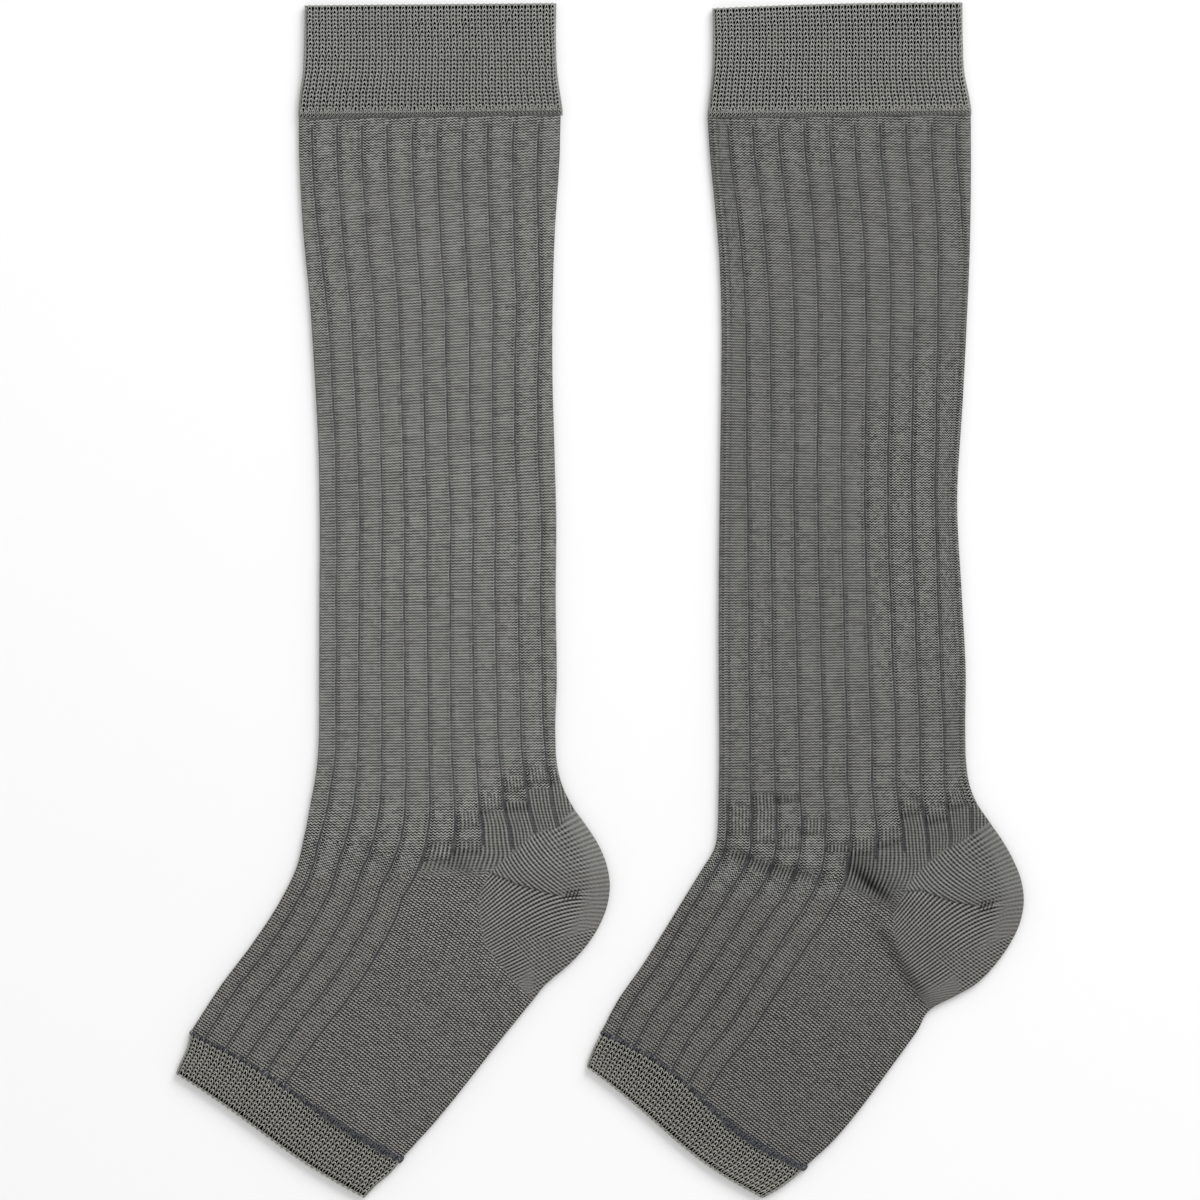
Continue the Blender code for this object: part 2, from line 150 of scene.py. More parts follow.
# The stage: how far the floor reaches each way, the camera's place across, how far it sees and its film's
# width, and the key light's size, place and turn. The film is in millimetres and the turn in degrees.
FLOOR_REACH = 6.0
CAMERA_X = 0.00024
CLIP_END = 50.0
SENSOR_WIDTH = 36.0
KEY_SIZE = 1.6
KEY_PLACE = (1.1, 1.7, 1.6)
KEY_TURN = (-51.7, 0.0, -32.9)

# A row of knitting across the flattened tube: its two ends, where its first rib groove lies and how far
# apart the grooves are, and how far its middle bows and sways towards the toe.
Row = namedtuple(
    "Row",
    "front_x front_y back_x back_y rib_start rib_pitch bow sway",
    defaults=(0.0, 0.0, 0.0, 0.0),
)
Ridge = namedtuple("Ridge", "points half_width height")
Bars = namedtuple("Bars", "panel top bottom slant", defaults=(0.0,))
RibEnd = namedtuple("RibEnd", "row bend breadth")
Grain = namedtuple("Grain", "pitch places")
Cloth = namedtuple("Cloth", "rows knots slopes length wall half_height lifts")
Sock = namedtuple(
    "Sock",
    "name cuff leg band ribs rib_ends heel_line heel_side gore heel_turn ridges creases under_creases"
    " shades pulls panel_ends bars slants tones ankle foot_row",
)

LEFT_CUFF = (
    Row(-115.5, 233.0, -16.8, 233.9),
    Row(-115.8, 219.5, -16.9, 219.5),
    Row(-116.4, 205.8, -16.3, 205.8),
    Row(-117.8, 195.5, -15.0, 196.5),
    Row(-118.2, 188.5, -14.0, 190.2),
)
LEFT_LEG = (
    Row(-117.8, 188.2, -15.2, 189.9, 5.0, 9.9),
    Row(-117.6, 173.5, -15.6, 173.5, 5.2, 9.8),
    Row(-116.1, 145.0, -17.4, 145.0, 5.8, 9.6),
    Row(-113.5, 117.5, -18.3, 117.5, 6.6, 9.3),
    Row(-111.7, 90.0, -18.4, 90.0, 6.8, 9.0),
    Row(-110.1, 59.0, -17.6, 59.0, 6.8, 8.8),
    Row(-109.6, 31.5, -16.9, 31.5, 6.7, 8.9),
    Row(-109.7, 0.0, -17.1, 0.0, 6.6, 8.9),
    Row(-109.8, -31.5, -16.7, -31.5, 6.6, 9.0),
    Row(-110.0, -55.0, -17.2, -55.0, 6.6, 9.1),
    Row(-110.3, -60.8, -16.8, -62.7, 6.7, 9.2),
    Row(-110.7, -65.1, -14.9, -71.7, 6.7, 9.4),
    Row(-111.2, -69.0, -10.6, -80.7, 6.7, 9.6),
    Row(-111.8, -72.5, -5.0, -88.6, 6.7, 9.8),
    Row(-112.4, -75.7, -0.3, -96.0, 6.8, 10.0),
    Row(-112.9, -78.4, 2.9, -103.9, 6.8, 10.1),
    Row(-113.4, -80.9, 4.1, -111.8, 6.8, 10.2),
    Row(-113.8, -83.2, 3.0, -120.0, 6.8, 10.2),
    Row(-114.2, -85.4, -0.2, -127.9, 6.7, 10.2),
    Row(-114.6, -87.6, -5.4, -135.8, 6.6, 10.1),
    Row(-115.0, -89.8, -12.0, -142.9, 6.5, 10.0),
    Row(-115.6, -92.1, -19.7, -149.3, 6.4, 9.8),
    Row(-118.0, -102.7, -26.3, -157.1, 6.2, 9.5),
    Row(-125.0, -117.8, -37.4, -170.7, 6.0, 9.3),
    Row(-135.4, -133.8, -49.4, -185.9, 5.9, 9.3),
    Row(-148.0, -150.6, -62.5, -202.3, 5.9, 9.2, -0.3, -0.5),
    Row(-160.2, -169.2, -77.6, -219.0, 5.9, 9.1, -0.7, -1.2),
)
LEFT_BAND = (
    Row(-160.3, -169.6, -77.7, -219.4, bow=-0.7, sway=-1.2),
    Row(-161.6, -175.0, -81.2, -224.0, bow=-0.1, sway=-1.0),
    Row(-164.0, -180.5, -87.6, -229.5, bow=0.5, sway=-0.8),
    Row(-166.1, -185.4, -92.1, -234.4, bow=1.1, sway=-0.7),
)
RIGHT_CUFF = (
    Row(44.2, 231.8, 142.3, 234.2, bow=-0.7),
    Row(44.3, 219.5, 142.5, 219.5),
    Row(44.0, 206.5, 143.1, 206.5),
    Row(42.9, 196.0, 145.1, 196.5),
    Row(42.0, 188.7, 146.1, 190.2),
)
RIGHT_LEG = (
    Row(42.4, 188.4, 145.5, 189.9, -2.6, 10.0),
    Row(43.3, 174.5, 145.6, 174.5, -2.2, 9.9),
    Row(45.0, 156.8, 145.5, 156.8, -1.5, 9.8),
    Row(47.0, 133.3, 145.0, 133.3, -0.6, 9.6),
    Row(47.8, 107.8, 143.9, 107.8, 0.2, 9.4),
    Row(47.6, 78.4, 142.4, 78.4, 0.8, 9.3),
    Row(47.1, 39.2, 140.2, 39.2, 1.6, 9.2),
    Row(46.7, 0.0, 142.1, 0.0, 2.3, 9.3),
    Row(46.7, -27.4, 143.5, -27.4, 2.5, 9.4),
    Row(46.9, -53.0, 143.4, -53.0, 2.6, 9.5),
    Row(46.9, -64.7, 143.8, -64.7, 2.8, 9.5),
    Row(46.8, -69.8, 144.9, -71.9, 2.9, 9.5),
    Row(46.7, -74.5, 148.0, -79.8, 3.0, 9.6),
    Row(46.6, -78.4, 152.9, -87.0, 3.2, 9.7),
    Row(46.6, -82.0, 158.0, -94.4, 3.3, 9.8),
    Row(46.5, -85.5, 162.2, -101.9, 3.4, 9.8),
    Row(46.4, -88.6, 165.2, -109.5, 3.6, 9.8),
    Row(46.2, -91.4, 166.3, -117.6, 3.8, 9.8),
    Row(45.9, -94.1, 165.0, -125.8, 4.0, 9.7),
    Row(45.3, -96.6, 161.2, -134.1, 4.1, 9.6),
    Row(44.4, -98.8, 155.6, -142.2, 4.2, 9.5),
    Row(43.1, -101.1, 148.2, -149.9, 4.3, 9.4),
    Row(41.9, -102.9, 138.4, -155.7, 4.3, 9.4),
    Row(40.7, -104.7, 130.7, -159.6, 4.4, 9.3),
    Row(35.5, -113.1, 124.4, -169.0, 4.5, 9.2),
    Row(26.7, -127.4, 114.4, -182.8, 4.6, 9.1),
    Row(16.3, -143.9, 101.8, -199.8, 5.0, 9.0, 0.0, -0.6),
    Row(7.3, -156.8, 91.7, -211.8, 5.3, 8.7, 0.0, -1.6),
    Row(0.8, -169.0, 80.4, -222.2, 5.6, 8.5, -0.2, -2.8),
)
RIGHT_BAND = (
    Row(0.7, -169.4, 80.3, -222.6, bow=-0.2, sway=-2.8),
    Row(-1.9, -174.2, 76.4, -226.4, bow=0.6, sway=-2.2),
    Row(-4.0, -179.4, 69.6, -231.3, bow=1.6, sway=-1.5),
    Row(-5.1, -182.8, 63.9, -234.4, bow=2.2, sway=-1.0),
)

# Where the turned heel joins the leg above and the sole below, from the back fold round its apex, and
# the rest of the outline round it, well clear of it, from the sole back up to the calf.
LEFT_HEEL_LINE = (
    (-10.4, -82.6), (-17.0, -89.0), (-26.0, -91.6), (-32.0, -97.4), (-39.0, -103.1), (-43.0, -107.2),
    (-46.4, -113.5), (-47.2, -120.0), (-46.6, -126.5), (-44.8, -134.5), (-38.0, -144.0),
    (-26.2, -156.6),
)
RIGHT_HEEL_LINE = (
    (153.0, -87.0), (144.3, -93.0), (134.8, -98.2), (128.7, -103.2), (122.7, -109.0), (119.6, -114.6),
    (115.4, -121.8), (115.4, -128.0), (116.6, -136.0), (119.3, -144.6), (123.3, -152.2),
    (129.2, -160.4),
)
LEFT_HEEL_SIDE = ((-14.0, -168.0), (22.0, -150.0), (22.0, -80.0), (2.0, -72.0))
RIGHT_HEEL_SIDE = ((142.0, -172.0), (185.0, -150.0), (185.0, -90.0), (166.0, -76.0))

# The slanting line in the heel where the short rows of its upper and lower halves meet.
LEFT_GORE = (
    (-43.0, -106.9), (-37.8, -108.8), (-32.0, -111.4), (-24.9, -113.4), (-19.0, -115.0),
    (-14.4, -116.0), (3.8, -113.3), (14.0, -111.8),
)
RIGHT_GORE = (
    (119.6, -114.3), (126.1, -113.6), (132.1, -116.0), (138.2, -118.0), (145.6, -119.4),
    (150.4, -120.0), (166.2, -117.6), (177.0, -116.0),
)

# Where the cloth of the upper panel stands off the lower one, as in the solids.
LEFT_RIDGES = (
    Ridge(((-22.0, -108.0), (-20.0, -122.0)), 17.0, 1.1),
    Ridge(((-58.0, -96.0), (-50.0, -118.0), (-44.0, -136.0)), 6.0, 0.35),
    Ridge(((-98.0, -88.0), (-78.0, -98.0)), 7.0, 0.3),
    Ridge(((-72.0, 150.0), (-70.0, 60.0), (-66.0, -40.0)), 24.0, 0.35),
    Ridge(((-88.0, -140.0), (-110.0, -172.0)), 20.0, 0.4),
)
RIGHT_RIDGES = (
    Ridge(((147.0, -112.0), (146.0, -126.0)), 16.0, 1.2),
    Ridge(((52.0, -93.0), (68.0, -98.5), (84.0, -102.5), (97.0, -102.0)), 4.2, 0.9),
    Ridge(((50.0, -107.0), (66.0, -111.0), (82.0, -115.0), (94.0, -118.0)), 5.0, 0.6),
    Ridge(((104.0, -97.0), (113.0, -105.0), (122.0, -116.0)), 5.0, 1.1),
    Ridge(((99.0, -116.0), (108.0, -128.0), (115.0, -146.0)), 6.0, 1.2),
    Ridge(((92.0, 150.0), (95.0, 60.0), (96.0, -40.0)), 24.0, 0.35),
    Ridge(((88.0, -146.0), (58.0, -182.0)), 20.0, 0.4),
)

# Soft creases, which fade out towards both ends. A negative height is a trough.
LEFT_CREASES = (
    Ridge(((-62.0, -88.0), (-54.0, -108.0), (-48.0, -128.0)), 2.2, 0.3),
    Ridge(((-52.0, -92.0), (-47.0, -106.0), (-48.5, -124.0), (-44.0, -142.0)), 2.0, -0.35),
    Ridge(((-46.0, -88.0), (-30.0, -84.0), (-14.0, -76.0)), 3.0, 0.3),
    Ridge(((-106.0, -84.0), (-88.0, -92.0), (-70.0, -96.0)), 2.6, -0.3),
    Ridge(((-108.0, -94.0), (-92.0, -101.0), (-80.0, -104.0)), 3.0, 0.28),
    Ridge(((-112.0, 172.0), (-96.0, 168.0), (-80.0, 170.0)), 4.0, 0.2),
    Ridge(((-30.0, -128.0), (-18.0, -134.0), (-8.0, -132.0)), 3.5, 0.3),
    Ridge(((-36.0, -122.0), (-24.0, -120.0), (-10.0, -124.0)), 2.4, -0.25),
    Ridge(((-118.0, -160.0), (-104.0, -176.0), (-90.0, -186.0)), 4.0, -0.25),
    Ridge(((-60.0, -150.0), (-52.0, -166.0), (-56.0, -182.0)), 4.5, 0.3),
)
RIGHT_CREASES = (
    Ridge(((45.0, -97.5), (55.0, -101.0), (64.0, -104.8), (74.0, -107.3), (88.0, -109.5)), 1.5, -1.15),
    Ridge(((46.0, -93.5), (56.0, -97.0), (66.0, -100.6), (78.0, -103.4), (90.0, -104.5)), 1.7, 0.5),
    Ridge(((48.0, -104.5), (58.0, -106.5), (70.0, -110.8), (84.0, -113.0)), 1.9, 0.45),
    Ridge(((56.0, -86.0), (72.0, -90.0), (88.0, -93.5)), 2.2, -0.4),
    Ridge(((97.0, -102.5), (102.0, -107.5), (107.5, -112.5), (114.5, -118.5)), 1.7, -1.5),
    Ridge(((101.0, -100.5), (108.0, -106.5), (116.0, -113.0)), 2.0, 0.5),
    Ridge(((107.0, -124.0), (114.0, -136.5), (121.0, -149.0), (131.0, -160.5)), 2.0, -1.2),
    Ridge(((100.0, -104.0), (94.0, -112.0), (84.0, -122.0)), 3.4, 0.5),
    Ridge(((120.0, -94.0), (134.0, -90.0), (148.0, -80.0)), 3.0, 0.3),
    Ridge(((58.0, -122.0), (72.0, -126.0), (88.0, -132.0)), 4.0, 0.3),
    Ridge(((44.0, -118.0), (56.0, -128.0), (70.0, -138.0)), 3.0, -0.3),
    Ridge(((64.0, 176.0), (84.0, 168.0), (108.0, 172.0)), 4.0, 0.25),
    Ridge(((112.0, 176.0), (126.0, 166.0), (140.0, 168.0)), 3.0, -0.2),
    Ridge(((132.0, -130.0), (144.0, -140.0), (156.0, -138.0)), 3.5, 0.3),
    Ridge(((50.0, -78.0), (70.0, -76.0), (86.0, -80.0)), 3.0, 0.25),
)
LEFT_UNDER_CREASES = (
    Ridge(((-104.0, -86.0), (-86.0, -94.0), (-68.0, -97.0)), 2.6, 0.35),
    Ridge(((-56.0, -92.0), (-49.0, -110.0), (-46.0, -134.0)), 2.6, 0.4),
    Ridge(((-110.0, 120.0), (-92.0, 112.0), (-70.0, 116.0)), 4.5, 0.25),
    Ridge(((-40.0, 20.0), (-32.0, -10.0), (-30.0, -44.0)), 5.0, 0.25),
    Ridge(((-112.0, -150.0), (-96.0, -168.0), (-84.0, -188.0)), 4.0, 0.3),
)
RIGHT_UNDER_CREASES = (
    Ridge(((50.0, -94.0), (68.0, -100.0), (88.0, -103.0)), 2.6, 0.45),
    Ridge(((100.0, -100.0), (110.0, -116.0), (116.0, -140.0)), 2.8, 0.5),
    Ridge(((52.0, 60.0), (72.0, 52.0), (96.0, 58.0)), 4.5, 0.25),
    Ridge(((128.0, 30.0), (124.0, 0.0), (128.0, -36.0)), 5.0, 0.25),
    Ridge(((40.0, -130.0), (58.0, -152.0), (72.0, -176.0)), 4.0, 0.3),
)

# Painted shade in the deepest creases, where the cloth is darker: a height of 0.3 takes a third of its light.
LEFT_SHADES = (
    Ridge(((-61.0, -99.0), (-52.0, -108.0), (-46.0, -114.0)), 4.0, 0.14),
    Ridge(((-98.0, -96.0), (-84.0, -103.0), (-70.0, -112.0)), 9.0, 0.12),
)
RIGHT_SHADES = (
    Ridge(((44.0, -97.5), (55.0, -101.0), (64.0, -104.8), (74.0, -107.3), (90.0, -110.0)), 2.2, 0.38),
    Ridge(((96.0, -102.5), (102.0, -107.5), (107.5, -112.5), (115.5, -119.0)), 2.5, 0.84),
    Ridge(((106.0, -122.0), (114.0, -136.0), (121.0, -149.0), (132.0, -162.0)), 3.0, 0.46),
    Ridge(((88.0, -98.0), (104.0, -101.0), (118.0, -104.0)), 5.0, 0.12),
)

# Where a fold pulls the stitches open, so that their columns show as strokes across it.
LEFT_PULLS = (
    Ridge(((-104.0, -89.0), (-90.0, -95.0), (-74.0, -99.0)), 3.0, 0.5),
    Ridge(((-66.0, -97.5), (-56.0, -101.0), (-48.0, -106.0)), 3.0, 0.5),
)
RIGHT_PULLS = (
    Ridge(((40.0, -95.0), (55.0, -101.0), (64.0, -104.8), (74.0, -107.3), (94.0, -110.8)), 3.6, 1.6),
    Ridge(((92.0, -98.5), (102.0, -107.5), (107.5, -112.5), (119.0, -122.0)), 4.8, 1.8),
)

# The directions of the heel's knit at places measured from the inner end of its slanting line, in degrees
# from +X: the columns of stitches and the rows, above the line and below it.
UPPER_COLUMNS = Grain(
    1.36,
    (
        (6.0, 5.0, -62.0), (11.9, 6.5, -60.0), (19.8, 8.9, -50.0), (10.0, 0.3, -50.0),
        (19.8, -0.9, -42.0), (27.6, 3.0, -42.0), (21.7, -6.0, -36.0), (27.6, 12.8, -50.0),
        (33.5, 8.9, -48.0),
    ),
)
UPPER_ROWS = Grain(
    1.54,
    (
        (8.0, 5.8, 32.0), (19.8, 8.9, 28.0), (27.6, 12.8, 26.0), (39.4, 8.9, 20.0), (43.3, -2.9, 6.0),
        (44.8, -10.7, 0.0), (43.3, -20.5, -8.0), (33.5, -6.8, 6.0), (27.6, 1.1, 18.0),
        (19.8, -0.9, 24.0), (40.1, -28.3, -22.0),
    ),
)
LOWER_COLUMNS = Grain(
    1.32,
    (
        (-2.2, -12.7, 40.0), (-3.0, -20.0, 38.0), (6.4, -10.7, 36.0), (15.8, -8.7, 31.0),
        (25.6, -11.9, 22.0), (33.0, -14.6, 6.0), (-1.4, -26.4, 30.0), (10.0, -22.5, 28.0),
        (21.7, -18.5, 25.0), (5.3, -37.0, 22.0), (11.9, -33.4, 24.0), (10.0, -44.0, 22.0),
        (23.7, -34.2, 28.0), (12.0, -58.0, 22.0), (20.0, -66.0, 24.0),
    ),
)
LOWER_ROWS = Grain(
    1.22,
    (
        (4.0, -6.8, -60.0), (11.9, -12.7, -56.0), (15.8, -20.5, -50.0), (23.7, -18.5, -50.0),
        (19.8, -30.3, -42.0), (27.6, -36.2, -42.0), (37.4, -30.3, -38.0), (15.8, -44.0, -42.0),
        (4.0, -30.0, -50.0), (14.0, -58.0, -44.0), (22.0, -66.0, -44.0),
    ),
)

# The part of the lower heel where columns and rows show alike, measured from the same end.
CROSSED_STITCHES = (
    (7.6, -24.8), (26.4, -25.6), (40.1, -21.7), (58.0, -20.0), (58.0, -78.0), (6.0, -78.0),
    (17.5, -43.0), (15.8, -36.2),
)

# How the rows of stitches slant and bow: the row in the table, the slant and the bow in millimetres. How
# bright the cloth is: the row in the table and the share of the yarn's colour. The right sock's lower shares
# are painted shade, for light that falls off towards it; both socks are also darker towards the foot.
LEFT_SLANTS = (
    (0, 0.087, 0.0), (5, 0.075, 0.0), (7, 0.02, 0.0), (20, 0.0, 0.0), (22, 0.0, 3.0), (24, 0.0, 3.6),
    (26, 0.0, 0.8),
)
RIGHT_SLANTS = (
    (0, -0.035, 0.0), (5, -0.035, 0.0), (8, 0.035, 0.0), (12, 0.0, 0.0), (22, 0.0, 0.0), (25, 0.0, 3.0),
    (28, 0.0, 0.5),
)
LEFT_TONES = ((0, 0.98), (6, 1.06), (10, 1.05), (14, 1.02), (20, 0.93), (23, 0.86), (26, 0.86))
RIGHT_TONES = ((0, 0.84), (8, 0.88), (12, 0.85), (16, 0.89), (22, 0.85), (25, 0.77), (28, 0.75))

LEFT = Sock(
    name="left",
    cuff=LEFT_CUFF,
    leg=LEFT_LEG,
    band=LEFT_BAND,
    ribs=10,
    rib_ends={
        5: RibEnd(16.7, 1.0, 1.0), 6: RibEnd(15.4, 1.4, 1.0), 7: RibEnd(15.2, 3.4, 0.6),
        8: RibEnd(14.2, 2.4, 0.3), 9: RibEnd(13.4, 1.6, 0.2),
    },
    heel_line=LEFT_HEEL_LINE,
    heel_side=LEFT_HEEL_SIDE,
    gore=LEFT_GORE,
    heel_turn=0.0,
    ridges=LEFT_RIDGES,
    creases=LEFT_CREASES,
    under_creases=LEFT_UNDER_CREASES,
    shades=LEFT_SHADES,
    pulls=LEFT_PULLS,
    panel_ends={5: -101.9, 6: -97.5, 7: -82.5, 8: -79.0, 9: -73.5, 10: -71.0},
    bars=(
        Bars(5, -95.0, -101.9), Bars(6, -83.0, -90.0, 3.0), Bars(6, -94.5, -99.0),
        Bars(7, -76.5, -82.5, 3.0), Bars(8, -69.0, -75.0, 2.0), Bars(8, -78.5, -82.5, 1.0),
        Bars(9, -65.5, -72.0, 2.0), Bars(10, -66.0, -71.0, 2.0),
    ),
    slants=LEFT_SLANTS,
    tones=LEFT_TONES,
    ankle=((-120.0, -91.5), (-43.0, -107.0)),
    foot_row=21,
)
RIGHT = Sock(
    name="right",
    cuff=RIGHT_CUFF,
    leg=RIGHT_LEG,
    band=RIGHT_BAND,
    ribs=11,
    rib_ends={
        6: RibEnd(16.3, 0.3, 0.7), 7: RibEnd(15.4, 1.7, 1.0), 8: RibEnd(15.7, 2.2, 0.7),
        9: RibEnd(14.8, 0.0, 0.4), 10: RibEnd(13.9, -1.8, 0.2),
    },
    heel_line=RIGHT_HEEL_LINE,
    heel_side=RIGHT_HEEL_SIDE,
    gore=RIGHT_GORE,
    heel_turn=-7.1,
    ridges=RIGHT_RIDGES,
    creases=RIGHT_CREASES,
    under_creases=RIGHT_UNDER_CREASES,
    shades=RIGHT_SHADES,
    pulls=RIGHT_PULLS,
    panel_ends={6: -98.0, 7: -94.5, 8: -83.1, 9: -84.3, 10: -80.0, 11: -79.0},
    bars=(
        Bars(1, -80.4, -92.1), Bars(2, -75.6, -95.3), Bars(3, -76.4, -79.6), Bars(3, -90.2, -98.0),
        Bars(4, -85.5, -92.1), Bars(5, -96.0, -98.8), Bars(6, -93.0, -99.5, 2.0),
        Bars(7, -89.0, -96.0, 3.0), Bars(8, -78.0, -84.0, 3.0), Bars(9, -80.0, -87.0, 2.0),
        Bars(10, -75.0, -81.0, 2.0),
    ),
    slants=RIGHT_SLANTS,
    tones=RIGHT_TONES,
    ankle=((40.0, -97.0), (119.6, -114.3)),
    foot_row=22,
)


def number_entry(name, description, default, low, high, **unit):
    """A number that the user may change."""
    return bpy.props.FloatProperty(
        name=name, description=description, default=default, min=low, max=high, **unit
    )


def size_entry(name, description, default, low, high):
    """A size that the user may change, given in millimetres."""
    sizes = (default * MM, low * MM, high * MM)
    return number_entry(name, description, *sizes, precision=5, unit="LENGTH")


def colour_entry(name, description, default):
    """A colour that the user may change."""
    return bpy.props.FloatVectorProperty(
        name=name, description=description, default=default, subtype="COLOR", min=0.0, max=1.0
    )


class SockSizes(bpy.types.PropertyGroup):
    leg_wall: size_entry("Leg cloth", "Thickness of one layer of the ribbed cloth", 1.4, 0.4, 3.0)
    cuff_wall: size_entry(
        "Cuff cloth", "Thickness of one layer of the folded cuff, yarn loops included", 1.7, 0.8, 3.0
    )
    band_wall: size_entry(
        "Toe band cloth", "Thickness of one layer of the toe band, yarn loops included", 1.5, 0.8, 3.0
    )
    groove_depth: size_entry(
        "Groove depth", "How deep the grooves between the ribs are", 0.5, 0.0, 0.9
    )
    rib_crown: size_entry(
        "Rib crown", "How far the middle of a rib stands above its sides", 0.28, 0.0, 1.0
    )
    course_pitch: size_entry(
        "Leg course", "Distance from one row of stitches to the next in the leg", 1.08, 0.5, 3.0
    )
    mesh_wale: size_entry(
        "Openwork wale",
        "Distance from one column of loops to the next in the cuff and toe band",
        default=2.45,
        low=1.0,
        high=6.0,
    )
    cuff_course: size_entry(
        "Cuff course", "Distance from one row of loops to the next in the cuff", 1.6, 1.0, 4.0
    )
    band_course: size_entry(
        "Toe band course", "Distance from one row of loops to the next in the toe band", 1.69, 1.0, 4.0
    )
    yarn_thickness: size_entry("Openwork yarn", "Diameter of the yarn in the openwork", 0.37, 0.3, 1.2)
    seam_thread: size_entry("Seam thread", "Diameter of the overlocking thread", 0.5, 0.1, 1.0)


class SockColours(bpy.types.PropertyGroup):
    yarn: colour_entry("Yarn", "The grey-green yarn where it lies on top", (0.400, 0.404, 0.378))
    gaps: colour_entry("Gaps", "The shade between the stitches of the leg", (0.008, 0.008, 0.008))
    # The grooves' colour is the smooth yarn in them painted much darker: painted shade of the grooves'
    # recesses.
    grooves: colour_entry(
        "Grooves", "The smooth darker yarn in the grooves between the ribs", (0.060, 0.064, 0.071)
    )
    mesh_yarn: colour_entry("Openwork yarn", "The yarn of the cuffs", (0.290, 0.291, 0.272))
    band_yarn: colour_entry("Toe band yarn", "Yarn of the openwork toe bands", (0.266, 0.262, 0.237))
    foot_yarn: colour_entry(
        "Foot yarn", "Yarn of the feet, a little warmer than the legs", (0.370, 0.360, 0.339)
    )
    # The openwork's inside is a near-black sheet of painted shade: it stands for the shaded inside of the
    # tube seen through the holes.
    mesh_shade_sheet: colour_entry(
        "Openwork ground", "The dark inside that shows through the openwork", (0.004, 0.004, 0.004)
    )
    seam: colour_entry("Seam thread", "The dark blue-grey overlocking thread", (0.078, 0.083, 0.096))
    floor: colour_entry("Floor", "The plain pale surface that the socks lie on", (0.93, 0.93, 0.93))


class StageSizes(bpy.types.PropertyGroup):
    camera_height: number_entry(
        "Camera height", "How far above the socks the camera is", 3.0, 0.5, 20.0, unit="LENGTH"
    )
    view_width: number_entry(
        "View width",
        "How much of the floor the picture takes in from side to side",
        default=0.4704,
        low=0.1,
        high=5.0,
        precision=4,
        unit="LENGTH",
    )
    key_watts: number_entry("Key light", "Power of the large soft light, in watts", 38.0, 0.0, 500.0)
    sky_strength: number_entry("Even light", "Strength of the even light from all round", 0.76, 0.0, 5.0)


def smoothstep(share):
    share = np.clip(share, 0.0, 1.0)
    return share * share * (3.0 - 2.0 * share)


def mix(a, b, share):
    return a + (b - a) * share


def cloth_through(rows, wall, lifts):
    """A smooth flattened tube of cloth through its rows."""
    table = np.array(rows, float)
    front = np.hypot(*np.diff(table[:, 0:2], axis=0).T)
    back = np.hypot(*np.diff(table[:, 2:4], axis=0).T)
    knots = np.concatenate(([0.0], np.cumsum((front + back) / 2)))
    steps = np.diff(knots)[:, None]
    rises = np.diff(table, axis=0) / steps
    slopes = np.empty_like(table)
    slopes[0] = rises[0]
    slopes[-1] = rises[-1]
    slopes[1:-1] = mix(rises[:-1], rises[1:], steps[:-1] / (steps[:-1] + steps[1:]))
    return Cloth(table, knots, slopes, knots[-1], wall, wall + REST_GAP / 2, lifts)


def rows_at(cloth, along):
    """The row's values at distances along the cloth, with its number in the table."""
    i = np.clip(np.searchsorted(cloth.knots, along, side="right") - 1, 0, len(cloth.knots) - 2)
    step = (cloth.knots[i + 1] - cloth.knots[i])[..., None]
    share = (along - cloth.knots[i])[..., None] / step
    rest = 1.0 - share
    values = (
        cloth.rows[i] * (1 + 2 * share) * rest * rest
        + cloth.slopes[i] * step * share * rest * rest
        + cloth.rows[i + 1] * share * share * (3 - 2 * share)
        - cloth.slopes[i + 1] * step * share * share * rest
    )
    return values, i + share[..., 0]


def row_width(values):
    return np.hypot(values[..., 2] - values[..., 0], values[..., 3] - values[..., 1])


def nearest(x, y, line):
    """The distance of points from a line, the share of the way along it, and which side they are on."""
    line = np.array(line, float)
    steps = np.diff(line, axis=0)
    lengths = np.hypot(*steps.T)
    starts = np.concatenate(([0.0], np.cumsum(lengths)))
    gap = np.full(np.shape(x), np.inf)
    share = np.zeros(np.shape(x))
    side = np.zeros(np.shape(x))
    for (ax, ay), (dx, dy), length, start in zip(line, steps, lengths, starts):
        along = np.clip(((x - ax) * dx + (y - ay) * dy) / length**2, 0.0, 1.0)
        here = np.hypot(x - ax - along * dx, y - ay - along * dy)
        closer = here < gap
        gap = np.where(closer, here, gap)
        share = np.where(closer, (start + along * length) / starts[-1], share)
        side = np.where(closer, np.sign(dx * (y - ay) - dy * (x - ax)), side)
    return gap, share, side


def inside(x, y, outline):
    """Whether points lie inside a closed outline."""
    found = np.zeros(np.shape(x), bool)
    for (ax, ay), (bx, by) in zip(outline, outline[1:] + outline[:1]):
        if ay != by:
            found ^= ((ay > y) != (by > y)) & (x < (bx - ax) * (y - ay) / (by - ay) + ax)
    return found


def ridge_height(x, y, ridges, fading):
    """How far ridges raise the cloth. Creases fade towards their ends, and broad swells don't."""
    height = np.zeros(np.shape(x))
    for ridge in ridges:
        gap, share, _ = nearest(x, y, ridge.points)
        strength = ridge.height * np.sin(pi * np.clip(share, 0.04, 0.96)) ** 0.8 if fading else ridge.height
        height += strength * np.exp(-((gap / ridge.half_width) ** 2))
    return height


def on_cloth(cloth, along, distance):
    """Places at distances along the cloth and from its front fold, and how far they are from a fold."""
    values, _ = rows_at(cloth, along)
    front_x, front_y, back_x, back_y, _, _, bow, sway = np.moveaxis(values, -1, 0)
    across_x, across_y = back_x - front_x, back_y - front_y
    width = np.hypot(across_x, across_y)
    share = distance / width
    forward = (bow * np.sin(pi * share) + sway * np.sin(tau * share)) / width
    x = front_x + across_x * share + across_y * forward
    y = front_y + across_y * share - across_x * forward
    return x, y, np.minimum(distance, width - distance)


